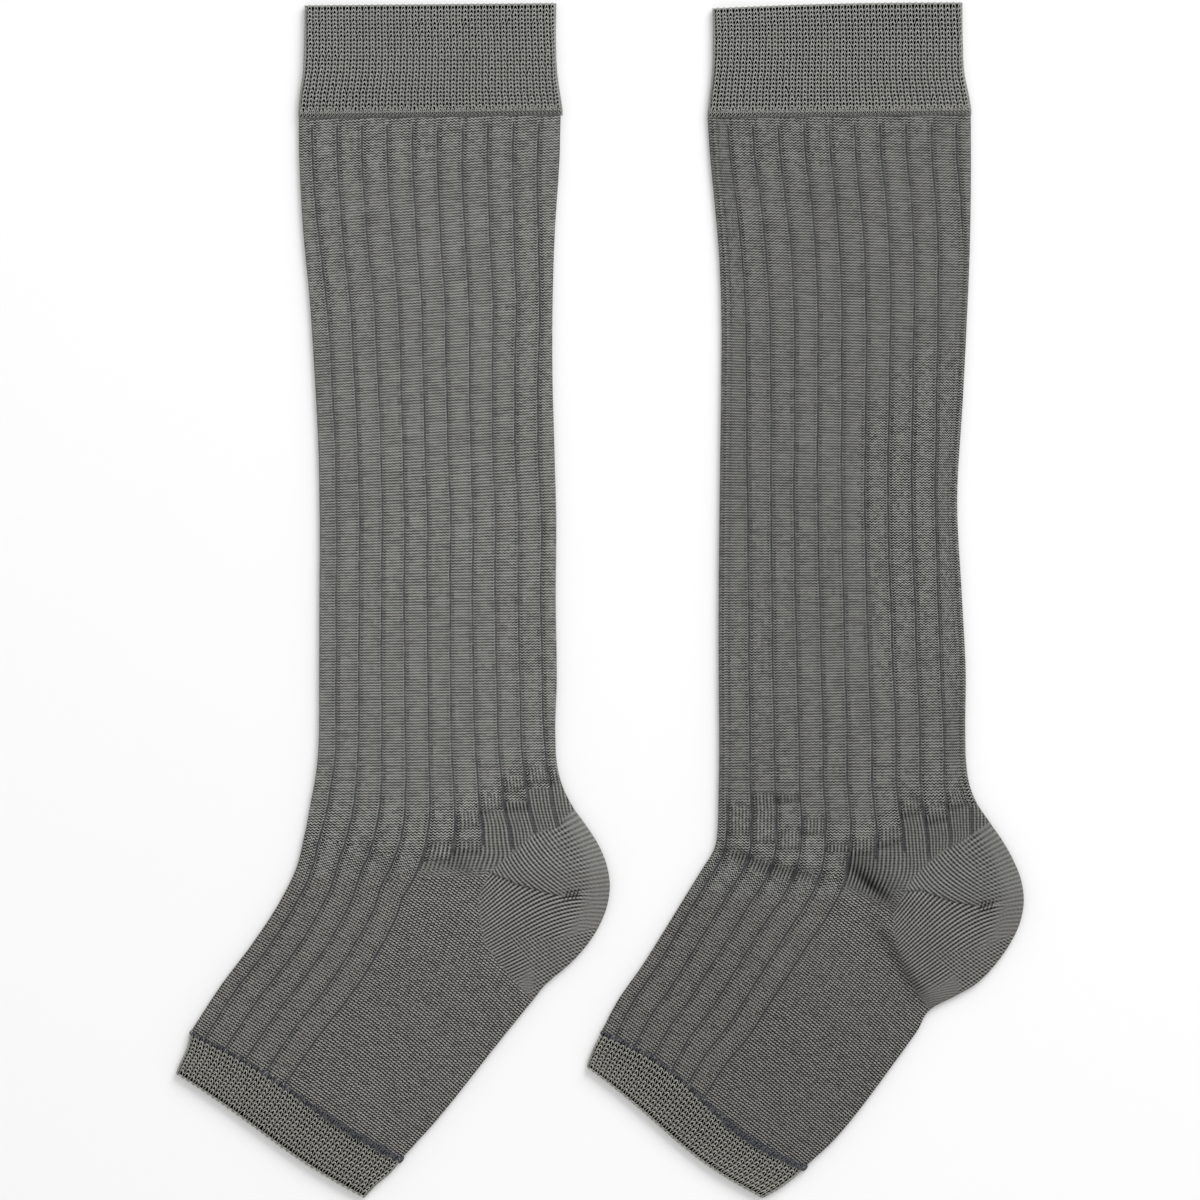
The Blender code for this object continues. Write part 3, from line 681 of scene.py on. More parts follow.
def flat_ring(width, half_height, top, top_rise, under, under_rise):
    """Each row's ring round a flattened tube, as distances and heights, from its front fold over the top."""
    width = width[:, None]
    angles = np.arange(FOLD_STEPS) * (pi / 2) / FOLD_STEPS + np.zeros(width.shape)
    lean = half_height * (1 - np.cos(angles))
    rise = half_height * np.sin(angles)
    near = np.full(width.shape, half_height)
    far = width - lean
    over = (lean, near, top, width - near, far[:, ::-1])
    back_under = (far[:, 1:], width - near, under[:, ::-1], near, lean[:, :0:-1])
    up, down = half_height + rise, half_height - rise
    over_heights = (up, near * 2, 2 * half_height + top_rise, near * 2, up[:, ::-1])
    under_heights = (down[:, 1:], near * 0, under_rise[:, ::-1], near * 0, down[:, :0:-1])
    return np.hstack(over + back_under), np.hstack(over_heights + under_heights)


def ring_keys(distances, width):
    """How far round a ring each point lies, from 0 at the front fold over the top to 1."""
    turn = int(np.argmax(distances))
    share = distances / width
    keys = np.where(np.arange(len(distances)) <= turn, share / 2, 1 - share / 2)
    keys[0] = 0.0
    return keys


def tube_faces(rings, columns, start, flip):
    """The quads of a closed tube whose points are numbered ring by ring."""
    ring, column = np.meshgrid(np.arange(rings - 1), np.arange(columns), indexing="ij")
    a = start + ring * columns + column
    b = start + ring * columns + (column + 1) % columns
    c = b + columns
    d = a + columns
    corners = (a, b, c, d) if flip else (a, d, c, b)
    return np.stack(corners, axis=-1).reshape(-1, 4)


def zipped_faces(outer, inner, outer_keys, inner_keys):
    """Triangles between two rings of unlike counts, stepping round both by their keys."""
    faces = []
    i = j = 0
    while i < len(outer) or j < len(inner):
        next_outer = outer_keys[i + 1] if i + 1 < len(outer) else 1.0
        next_inner = inner_keys[j + 1] if j + 1 < len(inner) else 1.0
        a, b = outer[i % len(outer)], inner[j % len(inner)]
        if j == len(inner) or (i < len(outer) and next_outer <= next_inner):
            i += 1
            faces.append((a, outer[i % len(outer)], b))
        else:
            j += 1
            faces.append((a, inner[j % len(inner)], b))
    return faces


def mesh_of(name, points, faces, mend_normals=False):
    """A smooth mesh from points in millimetres."""
    mesh = bpy.data.meshes.new(name)
    mesh.from_pydata((points * MM).tolist(), [], faces)
    if mend_normals:
        bm = bmesh.new()
        bm.from_mesh(mesh)
        bmesh.ops.recalc_face_normals(bm, faces=bm.faces)
        bm.to_mesh(mesh)
        bm.free()
    mesh.shade_smooth()
    return mesh


def give(mesh, name, *parts):
    """Stores up to three numbers for each of a mesh's first points, under a name that the materials read."""
    numbers = np.zeros((len(mesh.vertices), 3), np.float32)
    for i, part in enumerate(parts):
        numbers[: part.size, i] = part.ravel()
    layer = mesh.attributes.new(name, "FLOAT_VECTOR", "POINT")
    layer.data.foreach_set("vector", numbers.ravel())


def add_object(name, data):
    """Links an object to the scene."""
    thing = bpy.data.objects.new(name, data)
    bpy.context.scene.collection.objects.link(thing)
    return thing


def add_piece(name, mesh, material):
    """Links a mesh as a piece that rides on the pair's one body, with its material."""
    mesh.materials.append(material)
    piece = add_object(name, mesh)
    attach(piece, "root")
    return piece


def swell(cloth, x, y, edge):
    """How far the upper panel stands off the lower one."""
    return ridge_height(x, y, cloth.lifts, False) * smoothstep(edge / EDGE_REST)


def unevenness(x, y, phase):
    """The slight waves of hand-laid cloth, in millimetres."""
    return sum(
        height * np.sin(x / length_x + y / length_y + turn * phase)
        for height, length_x, length_y, turn in UNEVEN_WAVES
    )


def inner_wall(cloth, along, middle):
    """The plain hollow of a flattened tube: its points, and each ring's distances and width."""
    values, _ = rows_at(cloth, along)
    width = row_width(values)[:, None]
    share = np.linspace(0.0, 1.0, INSIDE_STEPS)[None, :]
    top = mix(cloth.wall + REST_GAP, width - cloth.wall - REST_GAP, share)
    near = np.full(width.shape, cloth.wall)
    distances = np.hstack((near, top, width - near, top[:, ::-1]))
    level = middle + REST_GAP / 2
    one_ring = np.repeat((middle, level, middle, 2 * middle - level), (1, INSIDE_STEPS, 1, INSIDE_STEPS))
    heights = np.tile(one_ring, (len(along), 1))
    x, y, edge = on_cloth(cloth, along[:, None], distances)
    z = heights + np.where(heights > middle, np.maximum(swell(cloth, x, y, edge), 0.0), 0.0)
    return np.stack((x, y, z), axis=-1), distances, width[:, 0]


def shell(name, cloth, along, distances, heights, lifts, inner_step=8):
    """A thin closed shell: an outer surface of rings over a plain hollow, joined at both ends."""
    x, y, edge = on_cloth(cloth, along[:, None], distances)
    outer = np.stack((x, y, heights + lifts(x, y, edge, heights)), axis=-1)
    width = row_width(rows_at(cloth, along)[0])
    inner_along = np.append(along[:-1:inner_step], along[-1])
    inner, inner_distances, inner_width = inner_wall(cloth, inner_along, heights[0, 0])
    rings, columns = distances.shape
    inner_rings, inner_columns = inner_distances.shape
    start = rings * columns
    faces = tube_faces(rings, columns, 0, False).tolist()
    faces += tube_faces(inner_rings, inner_columns, start, True).tolist()
    for ring, inner_ring in ((0, 0), (rings - 1, inner_rings - 1)):
        first, inner_first = ring * columns, start + inner_ring * inner_columns
        faces += zipped_faces(
            range(first, first + columns),
            range(inner_first, inner_first + inner_columns),
            ring_keys(distances[ring], width[ring]),
            ring_keys(inner_distances[inner_ring], inner_width[inner_ring]),
        )
    points = np.vstack((outer.reshape(-1, 3), inner.reshape(-1, 3)))
    return mesh_of(name, points, faces, mend_normals=True), x, y, edge


def groove_places(sock, values, numbers, along, half_height):
    """Where each groove lies on each row, wandering a little and kept clear of the folds."""
    k = np.arange(sock.ribs)
    spread = GROOVE_CROWDING + 2 * GROOVE_HALF_WIDTH
    low = half_height + GROOVE_CROWDING + GROOVE_HALF_WIDTH
    distance = along[:, None]
    wander = 0.09 * np.sin(distance / 6.3 + 2.1 * k * k) + 0.05 * np.sin(distance / 1.7 + 1.3 * k)
    wander = wander + 0.12 * np.sin(distance / 29.0 + 1.7 * k)
    places = values[:, 4:5] + values[:, 5:6] * k + wander
    for rib, end in sock.rib_ends.items():
        near_end = np.clip((numbers - end.row + 3.0) / 3.0, 0.0, 1.2) ** 1.5
        near_end = near_end * smoothstep((end.row + 5.0 - numbers) / 4.0)
        places[:, rib] += end.bend * near_end
    high = row_width(values)[:, None] - low
    return np.clip(places, low + spread * k, high - spread * (sock.ribs - 1 - k))


def groove_strengths(sock, values, numbers, along):
    """How much of its depth each groove has on each row: none past its end or where a fold hides it."""
    k = np.arange(sock.ribs)
    strength = smoothstep((along[:, None] - 1.5) / 2.5) + np.zeros(sock.ribs)
    for rib, end in sock.rib_ends.items():
        strength[:, rib] *= smoothstep((end.row + 0.3 - numbers) / GROOVE_FADE)
        near_end = smoothstep((numbers - end.row + 3.0) / 2.5)
        strength[:, rib] *= 1 - near_end * 0.5 * (1 - end.breadth)
    place = values[:, 4:5] + values[:, 5:6] * k
    strength = strength * smoothstep(place - GROOVE_EDGE_MARGIN)
    return strength * smoothstep(row_width(values)[:, None] - GROOVE_EDGE_MARGIN - place)


def nearest_grooves(sock, ribs, numbers, strengths):
    """The strength of the groove nearest each point, over 1 where it broadens above the heel."""
    breadths = np.zeros(strengths.shape)
    for rib, end in sock.rib_ends.items():
        breadths[:, rib] = end.breadth * smoothstep((numbers - end.row + 1.5) / 1.5)
    near = np.clip(np.round(ribs), 0, sock.ribs - 1).astype(int)
    groove = np.take_along_axis(strengths * (1 + breadths), near, axis=1)
    return np.where(np.abs(ribs - near) > 0.6, 0.0, groove)


def rib_columns(places, width, half_height, per_rib, half_groove):
    """Columns across every rib and groove, with the share through its rib, or below 0, and its groove."""
    lows = np.hstack((np.full((len(width), 1), half_height), places + half_groove))
    highs = np.hstack((places - half_groove, (width - half_height)[:, None]))
    offsets = (-half_groove, 0.0, half_groove) if half_groove else (0.0,)
    columns, shares, grooves = [], [], []
    for rib in range(lows.shape[1]):
        for share in (np.arange(per_rib) + 0.5) / per_rib:
            columns.append(mix(lows[:, rib], highs[:, rib], share))
            shares.append(share)
            grooves.append(-1)
        for offset in offsets if rib < places.shape[1] else ():
            columns.append(places[:, rib] + offset)
            shares.append(-1.0)
            grooves.append(-1 if offset else rib)
    return np.stack(columns, axis=1), np.array(shares), np.array(grooves)


def leg_rings(sock, cloth, sizes, values, places, strengths):
    """The outer surface of a leg and foot: crowned ribs parted by grooves, over a flat underside."""
    width = row_width(values)
    half_height = cloth.half_height
    depth, crown = sizes.groove_depth / MM, sizes.rib_crown / MM
    top, shares, grooves = rib_columns(places, width, half_height, RIB_STEPS, GROOVE_HALF_WIDTH)
    rise = np.where(shares >= 0, crown * (1 - np.abs(2 * shares - 1) ** 3), 0.0) + np.zeros(top.shape)
    under, _, under_grooves = rib_columns(places, width, half_height, UNDER_RIB_STEPS, 0.0)
    under_rise = np.zeros(under.shape)
    for rib in range(sock.ribs):
        strength = strengths[:, rib : rib + 1]
        rise[:, grooves == rib] -= depth * strength
        under_rise[:, under_grooves == rib] += 0.6 * depth * strength

    def lifts(x, y, edge, heights):
        easing = smoothstep(edge / EDGE_REST)
        folds = ridge_height(x, y, sock.creases, True) + unevenness(x, y, cloth.rows[0, 0])
        lowest = THINNEST - cloth.wall - np.minimum(heights - 2 * half_height, 0.0)
        above = swell(cloth, x, y, edge) + np.maximum(easing * folds, lowest)
        raised = ridge_height(x, y, sock.under_creases, True) + 0.06
        below = easing * (raised + 0.6 * np.abs(unevenness(x, y, 1.0)))
        return np.where(heights > half_height, above, np.where(heights < half_height, below, 0.0))

    return *flat_ring(width, half_height, top, rise, under, under_rise), lifts


def rib_numbers(distances, places, pitch):
    """How many ribs across each point is, with whole numbers on the grooves."""
    count = places.shape[1]
    before = (places[:, None, :] <= distances[:, :, None]).sum(axis=2)
    left = np.take_along_axis(places, np.clip(before - 1, 0, count - 1), axis=1)
    right = np.take_along_axis(places, np.clip(before, 0, count - 1), axis=1)
    between = before - 1 + (distances - left) / np.maximum(right - left, 1e-6)
    first = (distances - places[:, :1]) / pitch
    last = count - 1 + (distances - places[:, -1:]) / pitch
    return np.where(before == 0, first, np.where(before == count, last, between))


def course_numbers(sock, cloth, x, y, distances, width, numbers, pitch):
    """The number of each point among the level rows of the leg, and among the rows across the foot.

    The two meet in a line across the ankle: the third result is how far a point is below it. Rows slant
    and bow a little where the cloth was pulled.
    """
    at, tilts, bows = np.array(sock.slants).T
    leg = cloth.rows[0, 1] - y + np.interp(numbers, at, tilts)[:, None] * distances
    foot_row, last_row = cloth.rows[sock.foot_row], cloth.rows[-1]
    start_x, start_y = (foot_row[0:2] + foot_row[2:4]) / 2
    toe_x, toe_y = (last_row[0:2] + last_row[2:4]) / 2 - (start_x, start_y)
    bow = np.interp(np.maximum(numbers, sock.foot_row + 1), at, bows)[:, None]
    foot = ((x - start_x) * toe_x + (y - start_y) * toe_y) / np.hypot(toe_x, toe_y)
    foot = foot + bow * np.sin(pi * distances / width[:, None])
    (front_x, front_y), (heel_x, heel_y) = sock.ankle
    line = np.hypot(heel_x - front_x, heel_y - front_y)
    above = ((heel_x - front_x) * (y - front_y) - (heel_y - front_y) * (x - front_x)) / line
    return leg / pitch, foot / pitch, -above


def strip_mask(value, low, high):
    """A strip that starts sharply at its low end and fades out slowly at its high one."""
    return smoothstep((value - low) / 1.2 + 0.5) * smoothstep((high - value) / 4.0 + 0.7)


def panel_knit(sock, x, y, ribs, upper):
    """Where the panels between the grooves are plain, where they show bars, and the dark rows under those."""
    panel = np.floor(ribs + 1e-4).astype(int) + 1
    last_panel = max(sock.panel_ends)
    plain, bars, dark_rows = (np.zeros(x.shape) for _ in range(3))
    for number, end in sock.panel_ends.items():
        here = (panel == number) if number < last_panel else (panel >= number)
        plain = np.where(here, smoothstep((end - y) / 1.2 + 0.5), plain)
    across = np.clip(ribs - panel + 1, 0.0, 1.0) - 0.5
    for bar in sock.bars:
        here = panel == bar.panel
        level = y - bar.slant * across
        bars = np.where(here, np.maximum(bars, strip_mask(level, bar.bottom, bar.top)), bars)
        foot = 0.28 * np.exp(-(((level - bar.bottom - 0.8) / 1.3) ** 2))
        dark_rows = np.where(here, np.maximum(dark_rows, foot), dark_rows)
    pulled = np.clip(bars + ridge_height(x, y, sock.pulls, True), 0.0, 1.7)
    return plain, np.where(upper, pulled, bars), dark_rows


def turned(x, y, degrees):
    """Places turned about the origin."""
    c, s = np.cos(radians(degrees)), np.sin(radians(degrees))
    return x * c - y * s, x * s + y * c


def lines_along(x, y, grain):
    """Numbers lines that run in the grain's directions past its places, about its pitch apart."""
    at_x, at_y, degrees = np.array(grain.places).T
    u, v = at_x / HEEL_SPAN, at_y / HEEL_SPAN
    one, none = np.ones_like(u), np.zeros_like(u)
    rise_u = np.stack((one, none, 2 * u, v, none, 3 * u * u, 2 * u * v, v * v, none), axis=1)
    rise_v = np.stack((none, one, none, u, 2 * v, none, u * u, 2 * u * v, 3 * v * v), axis=1)
    c, s = np.cos(np.radians(degrees))[:, None], np.sin(np.radians(degrees))[:, None]
    level = DIRECTION_WEIGHT * (rise_u * c + rise_v * s)
    climb = rise_v * c - rise_u * s
    calm = CALM_WEIGHT * np.eye(9)
    wanted = np.concatenate((none, one, np.zeros(9)))
    terms = np.linalg.lstsq(np.vstack((level, climb, calm)), wanted, rcond=None)[0]
    u, v = x / HEEL_SPAN, y / HEEL_SPAN
    shapes = (u, v, u * u, u * v, v * v, u**3, u * u * v, u * v * v, v**3)
    return sum(term * shape for term, shape in zip(terms, shapes)) * HEEL_SPAN / grain.pitch


def heel_places(sock, x, y):
    """Each point's places in the upper and lower heel's knit, and how far it is in the crossed stitches."""
    gap, _, _ = nearest(x, y, sock.heel_line)
    heel = np.where(inside(x, y, sock.heel_line + sock.heel_side), gap, -gap)
    gore, _, side = nearest(x, y, sock.gore)
    x, y = turned(x - sock.gore[0][0], y - sock.gore[0][1], sock.heel_turn)
    gap, _, _ = nearest(x, y, CROSSED_STITCHES + CROSSED_STITCHES[:1])
    crossed = np.where(inside(x, y, CROSSED_STITCHES), gap, -gap)
    upper = (lines_along(x, y, UPPER_COLUMNS), lines_along(x, y, UPPER_ROWS), heel)
    lower = (lines_along(x, y, LOWER_COLUMNS), lines_along(x, y, LOWER_ROWS), gore * side)
    return upper, lower, crossed


def knit_leg(sizes, sock, material):
    """One sock's leg, heel and foot as a thin shell, with the numbers that its stitches are drawn from."""
    cloth = cloth_through(sock.leg, sizes.leg_wall / MM, sock.ridges)
    along = np.linspace(0.0, cloth.length, int(round(cloth.length)) + 1)
    values, numbers = rows_at(cloth, along)
    places = groove_places(sock, values, numbers, along, cloth.half_height)
    strengths = groove_strengths(sock, values, numbers, along)
    distances, heights, lifts = leg_rings(sock, cloth, sizes, values, places, strengths)
    name = sock.name + "_leg_cloth"
    mesh, x, y, edge = shell(name, cloth, along, distances, heights, lifts)

    upper = heights > cloth.wall
    pitch = sizes.course_pitch / MM
    ribs = rib_numbers(distances, places, values[:, 5:6])
    groove = nearest_grooves(sock, ribs, numbers, strengths)
    rows = course_numbers(sock, cloth, x, y, distances, row_width(values), numbers, pitch)
    plain, bars, dark_rows = panel_knit(sock, x, y, ribs, upper)
    # The tone is painted shade on the whole right sock, for light that falls off towards it; it is also
    # darker towards the foot and in the dark rows under the bars.
    tone = np.interp(numbers, *np.array(sock.tones).T)[:, None] * (1 - dark_rows)
    # Painted shade in the deep creases of the upper panel.
    tone = tone * (1 - np.where(upper, ridge_height(x, y, sock.shades, True), 0.0))
    ankle = smoothstep((y - sock.gore[0][1]) / 8.0 + 0.5)
    upper_heel, lower_heel, crossed = heel_places(sock, x, y)
    give(mesh, "rib_place", ribs, groove)
    give(mesh, "row_place", *rows)
    give(mesh, "knit_kind", plain, bars, tone)
    give(mesh, "heel_upper", *upper_heel)
    give(mesh, "heel_lower", *lower_heel)
    give(mesh, "fold_gap", edge, crossed, ankle)
    piece = add_piece(name, mesh, material)
    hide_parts(sock.name + "_leg", sock.name + "_heel")
    return piece


def round_tube(share, width, half_height):
    """Distances, heights and outward directions round a flattened tube, from its front fold over the top."""
    flat = width - 2 * half_height
    quarter = pi * half_height / 2
    s = share * (2 * flat + 4 * quarter)
    marks = [quarter, quarter + flat, 3 * quarter + flat, 3 * quarter + 2 * flat]
    where = [s < mark for mark in marks]
    a = s / half_height
    b = (s - marks[1]) / half_height
    c = (s - marks[3]) / half_height
    h = half_height
    none = 0 * s
    front, over = h * (1 - np.cos(a)), h + s - marks[0]
    back, under = width - h + h * np.sin(b), width - h - (s - marks[2])
    distance = np.select(where, [front, over, back, under], h * (1 - np.sin(c)))
    rising, falling = h + h * np.sin(a), h + h * np.cos(b)
    height = np.select(where, [rising, 2 * h + none, falling, none], h * (1 - np.cos(c)))
    out = np.select(where, [-np.cos(a), none, np.sin(b), none], -np.sin(c))
    up = np.select(where, [np.sin(a), none + 1, np.cos(b), none - 1], -np.cos(c))
    return distance, height, out, up


def yarn_on(cloth, along, share, depth, lift):
    """Points and outward directions of yarn laid round a flattened tube, at a depth under its outside."""
    values, _ = rows_at(cloth, along)
    width = row_width(values)
    distance, height, out, up = round_tube(share, width - 2 * depth, cloth.half_height - depth)
    distance = distance + depth + lift * out
    height = height + depth + lift * up
    x, y, edge = on_cloth(cloth, along, distance)
    z = height + np.where(height > cloth.half_height, swell(cloth, x, y, edge), 0.0)
    across = (values[..., 2:4] - values[..., 0:2]) / width[..., None]
    normals = np.concatenate((across * out[..., None], up[..., None]), axis=-1)
    return np.stack((x, y, z), axis=-1), normals


def unit(vectors):
    return vectors / np.maximum(np.linalg.norm(vectors, axis=-1, keepdims=True), 1e-9)


def closed_tubes(paths, normals, radii, sides, lowest):
    """Round yarn along closed paths, as points and quads, pressed flat on the floor."""
    tangents = unit(np.roll(paths, -1, axis=1) - np.roll(paths, 1, axis=1))
    side = unit(np.cross(tangents, normals))
    normals = np.cross(side, tangents)
    angles = np.arange(sides) * tau / sides
    offsets = normals[:, :, None] * np.cos(angles)[:, None] + side[:, :, None] * np.sin(angles)[:, None]
    points = (paths[:, :, None] + offsets * radii[..., None, None]).reshape(-1, 3)
    points[:, 2] = np.maximum(points[:, 2], lowest)
    count, steps = paths.shape[:2]
    tube, step, edge = np.meshgrid(np.arange(count), np.arange(steps), np.arange(sides), indexing="ij")

    def number(step, edge):
        return (tube * steps + step % steps) * sides + edge % sides

    corners = (number(step, edge), number(step, edge + 1), number(step + 1, edge + 1), number(step + 1, edge))
    return points, np.stack(corners, axis=-1).reshape(-1, 4)


def even_courses(first, last, pitch):
    """Courses from first to last, as near the pitch as a whole number of them allows."""
    return np.linspace(first, last, int(round((last - first) / pitch)) + 1)


def loop_courses(cloth, wale, yarn, courses, reaches, seed, depths=0.0, points=8, sides=5):
    """Courses of looped yarn round a flattened tube: each is a wave whose arches stand over the sheet of
    painted shade.
    """
    dice = np.random.default_rng(seed)
    middle, _ = rows_at(cloth, cloth.knots[-1:] / 2)
    round_it = 2 * (row_width(middle)[0] - 2 * cloth.wall - REST_GAP) + tau * (cloth.half_height - yarn / 2)
    wales = int(round(round_it / wale))
    turn = np.arange(wales * points) / points * tau
    arch = np.cos(turn)
    count = len(courses)
    course = np.arange(count)[:, None]
    sway = np.repeat(dice.normal(0.0, 0.025, (count, wales)), points, axis=1)
    reach = reaches[:, None] * (1.0 + np.repeat(dice.normal(0.0, 0.06, (count, wales)), points, axis=1))
    along = courses[:, None] - reach * arch
    drift = 0.12 * np.sin(course / 4.1 + seed) + 0.02 * np.sin(course * 1.7 + seed)
    share = ((turn + LOOP_NECK * np.sin(2 * turn)) / tau + 0.25 + sway + drift) / wales % 1.0
    depth = yarn * 0.55 + LOOP_RISE + np.reshape(depths, (-1, 1)) + np.zeros(share.shape)
    paths, normals = yarn_on(cloth, along, share, depth, LOOP_RISE * arch)
    thickness = yarn / 2 * (0.84 + 0.56 * arch**2 + dice.normal(0.0, 0.03, (count, 1)))
    tubes, faces = closed_tubes(paths, normals, thickness, sides, lowest=0.0)
    # How far up its arch each point lies; the yarn's material turns this into painted light on the arches.
    crest = np.tile(np.repeat(0.5 + 0.5 * arch, sides), count)
    return tubes, faces, crest


def openwork_piece(name, parts, material):
    """One piece of yarn from several lots of courses."""
    faces, start = [], 0
    for tubes, quads, _ in parts:
        faces.append(quads + start)
        start += len(tubes)
    mesh = mesh_of(name, np.vstack([part[0] for part in parts]), np.vstack(faces).tolist())
    give(mesh, "loop", np.concatenate([part[2] for part in parts]))
    return add_piece(name, mesh, material)


def inner_shell(name, cloth, inset, reach, material):
    """A thin flattened tube inside an openwork piece: its near-black sheet of painted shade, or the rim of
    its open end.
    """
    along = np.linspace(*reach, max(3, int((reach[1] - reach[0]) / SHELL_RING)))
    half_height = cloth.wall - inset + REST_GAP / 2
    width = row_width(rows_at(cloth, along)[0]) - 2 * inset
    share = np.linspace(0.0, 1.0, SHELL_STEPS)[None, 1:-1]
    top = mix(half_height, width[:, None] - half_height, share)
    flat = np.zeros(top.shape)
    distances, heights = flat_ring(width, half_height, top, flat, top, flat)

    def lifts(x, y, edge, heights):
        return np.where(heights > half_height + inset, swell(cloth, x, y, edge), 0.0)

    mesh, _, _, _ = shell(name, cloth, along, distances + inset, heights + inset, lifts, inner_step=4)
    return add_piece(name, mesh, material)


def cuff_layout(cloth, pitch):
    """How a cuff lies from its open end: the spans of its painted-shade sheet and rim, its courses and their
    reaches.
    """
    reach = LOOP_REACH * pitch
    courses = even_courses(reach + COURSE_GAP, cloth.length - CUFF_HEM_ROOM, pitch)
    reaches = np.append(END_REACH, np.full(len(courses), reach))
    return (SHEET_GAP, cloth.length - CUFF_SHEET_GAP), RIM_SPAN, np.append(END_COURSE, courses), reaches


def band_layout(cloth, pitch):
    """The same for a toe band, whose open end comes last."""
    length, reach = cloth.length, LOOP_REACH * pitch
    courses = even_courses(BAND_COURSE_GAP, length - reach - COURSE_GAP, pitch)
    reaches = np.append(np.full(len(courses), reach), END_REACH)
    rim = (length - RIM_SPAN[1], length - RIM_SPAN[0])
    return (BAND_SHEET_GAP, length - SHEET_GAP), rim, np.append(courses, length - END_COURSE), reaches


def hem_courses(cloth, seed):
    """The fine dense knit of a cuff's lower edge, darker towards the leg."""
    courses = cloth.length - HEM_COURSES
    fine = loop_courses(cloth, HEM_WALE, HEM_YARN, courses, HEM_REACHES, seed, HEM_DEPTHS, points=6, sides=4)
    tubes, quads, crest = fine
    return tubes, quads, crest - 0.6 * np.linspace(0.0, 1.0, len(crest))


def knit_openwork(sizes, name, cloth, inset, layout, seed, finishes, hem=()):
    """A cuff or toe band: its near-black sheet of painted shade, its looped yarn and the rim of its open end.
    """
    # The ground is a near-black sheet of painted shade, standing for the shaded inside of the tube.
    shade_sheet, yarn = finishes
    span, rim_span, courses, reaches = layout
    base = inner_shell(name + "_ground", cloth, inset, span, shade_sheet)
    rim = inner_shell(name + "_rim", cloth, RIM_INSET, rim_span, yarn)
    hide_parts(name)
    lattice = loop_courses(cloth, sizes.mesh_wale / MM, sizes.yarn_thickness / MM, courses, reaches, seed)
    loops = openwork_piece(name + "_loops", (lattice, *hem), yarn)
    return base, loops, rim


def knit_seam(sizes, sock, material, seed):
    """The overlocked seam: two strands of dark thread wound over the joint of leg and toe band."""
    dice = np.random.default_rng(seed)
    cloth = cloth_through(sock.band, sizes.band_wall / MM, sock.ridges)
    thread = sizes.seam_thread / MM / 2
    width = row_width(cloth.rows[0])
    turns = int(round(2 * width / SEAM_STITCH))
    paths, outward, radii = [], [], []
    for strand, (reach, height, phase) in enumerate(SEAM_STRANDS):
        turn = np.arange(turns * SEAM_STEPS) / SEAM_STEPS * tau + phase
        jitter = 1.0 + np.repeat(dice.normal(0.0, SEAM_JITTER, turns), SEAM_STEPS)
        share = turn / tau / turns % 1.0
        across = 1 - np.abs(2 * share - 1)
        heavy = SEAM_LIGHTEST + SEAM_GAIN * smoothstep((across - 0.40) / 0.30)
        blotch = 1.0 + SEAM_BLOTCH * np.sin(across * width * tau / SEAM_BLOTCH_LENGTH + strand)
        along = -0.15 + reach * heavy * blotch * jitter * np.cos(turn) * 1.15
        lift = height * heavy * jitter * np.sin(turn)
        path, normal = yarn_on(cloth, along, share, 0.45, lift + 0.25)
        paths.append(path)
        outward.append(normal)
        radii.append(thread * (0.75 + 0.35 * heavy))
    points, faces = closed_tubes(np.stack(paths), np.stack(outward), np.stack(radii), 5, lowest=0.02)
    name = sock.name + "_toe_seam"
    add_piece(name, mesh_of(name, points, faces.tolist()), material)


def plug(entry, value):
    """Links a wire to a node's input, or sets the input to a number or colour."""
    if isinstance(value, Wire):
        entry.id_data.links.new(value.socket, entry)
    else:
        entry.default_value = value


def add_node(tree, kind, inputs, **settings):
    """Adds a node with its settings and inputs, the inputs by name or number."""
    node = tree.nodes.new("ShaderNode" + kind)
    for name, value in settings.items():
        setattr(node, name, value)
    for name, value in inputs.items():
        plug(node.inputs[name], value)
    return node


class Wire:
    """An output in a material's nodes, which can be reckoned with as if it were a number."""

    def __init__(self, socket):
        self.socket = socket

    def reckon(self, operation, *others):
        inputs = dict(enumerate((self, *others)))
        return Wire(add_node(self.socket.id_data, "Math", inputs, operation=operation).outputs[0])

    __add__ = partialmethod(reckon, "ADD")
    __sub__ = partialmethod(reckon, "SUBTRACT")
    __mul__ = partialmethod(reckon, "MULTIPLY")
    __truediv__ = partialmethod(reckon, "DIVIDE")
    __neg__ = partialmethod(reckon, "MULTIPLY", -1.0)
    at_least = partialmethod(reckon, "MAXIMUM")
    at_most = partialmethod(reckon, "MINIMUM")
    fraction = partialmethod(reckon, "FRACT")
    floor = partialmethod(reckon, "FLOOR")
    size = partialmethod(reckon, "ABSOLUTE")

    def rest(self):
        """One less this."""
        return -self + 1.0

    def wave(self):
        """0 at whole numbers and 1 half way between them, in straight lines."""
        return self.fraction().reckon("PINGPONG", 0.5) * 2.0

    def step(self, low, high):
        """0 below low and 1 above high, with a soft slope between."""
        inputs = {"Value": self, "From Min": low, "From Max": high}
        node = add_node(self.socket.id_data, "MapRange", inputs, interpolation_type="SMOOTHSTEP")
        return Wire(node.outputs["Result"])

    def towards(self, other, share):
        """This where the share is 0 and the other where it is 1."""
        node = add_node(self.socket.id_data, "Mix", {"Factor": share, "A": self, "B": other})
        return Wire(node.outputs["Result"])


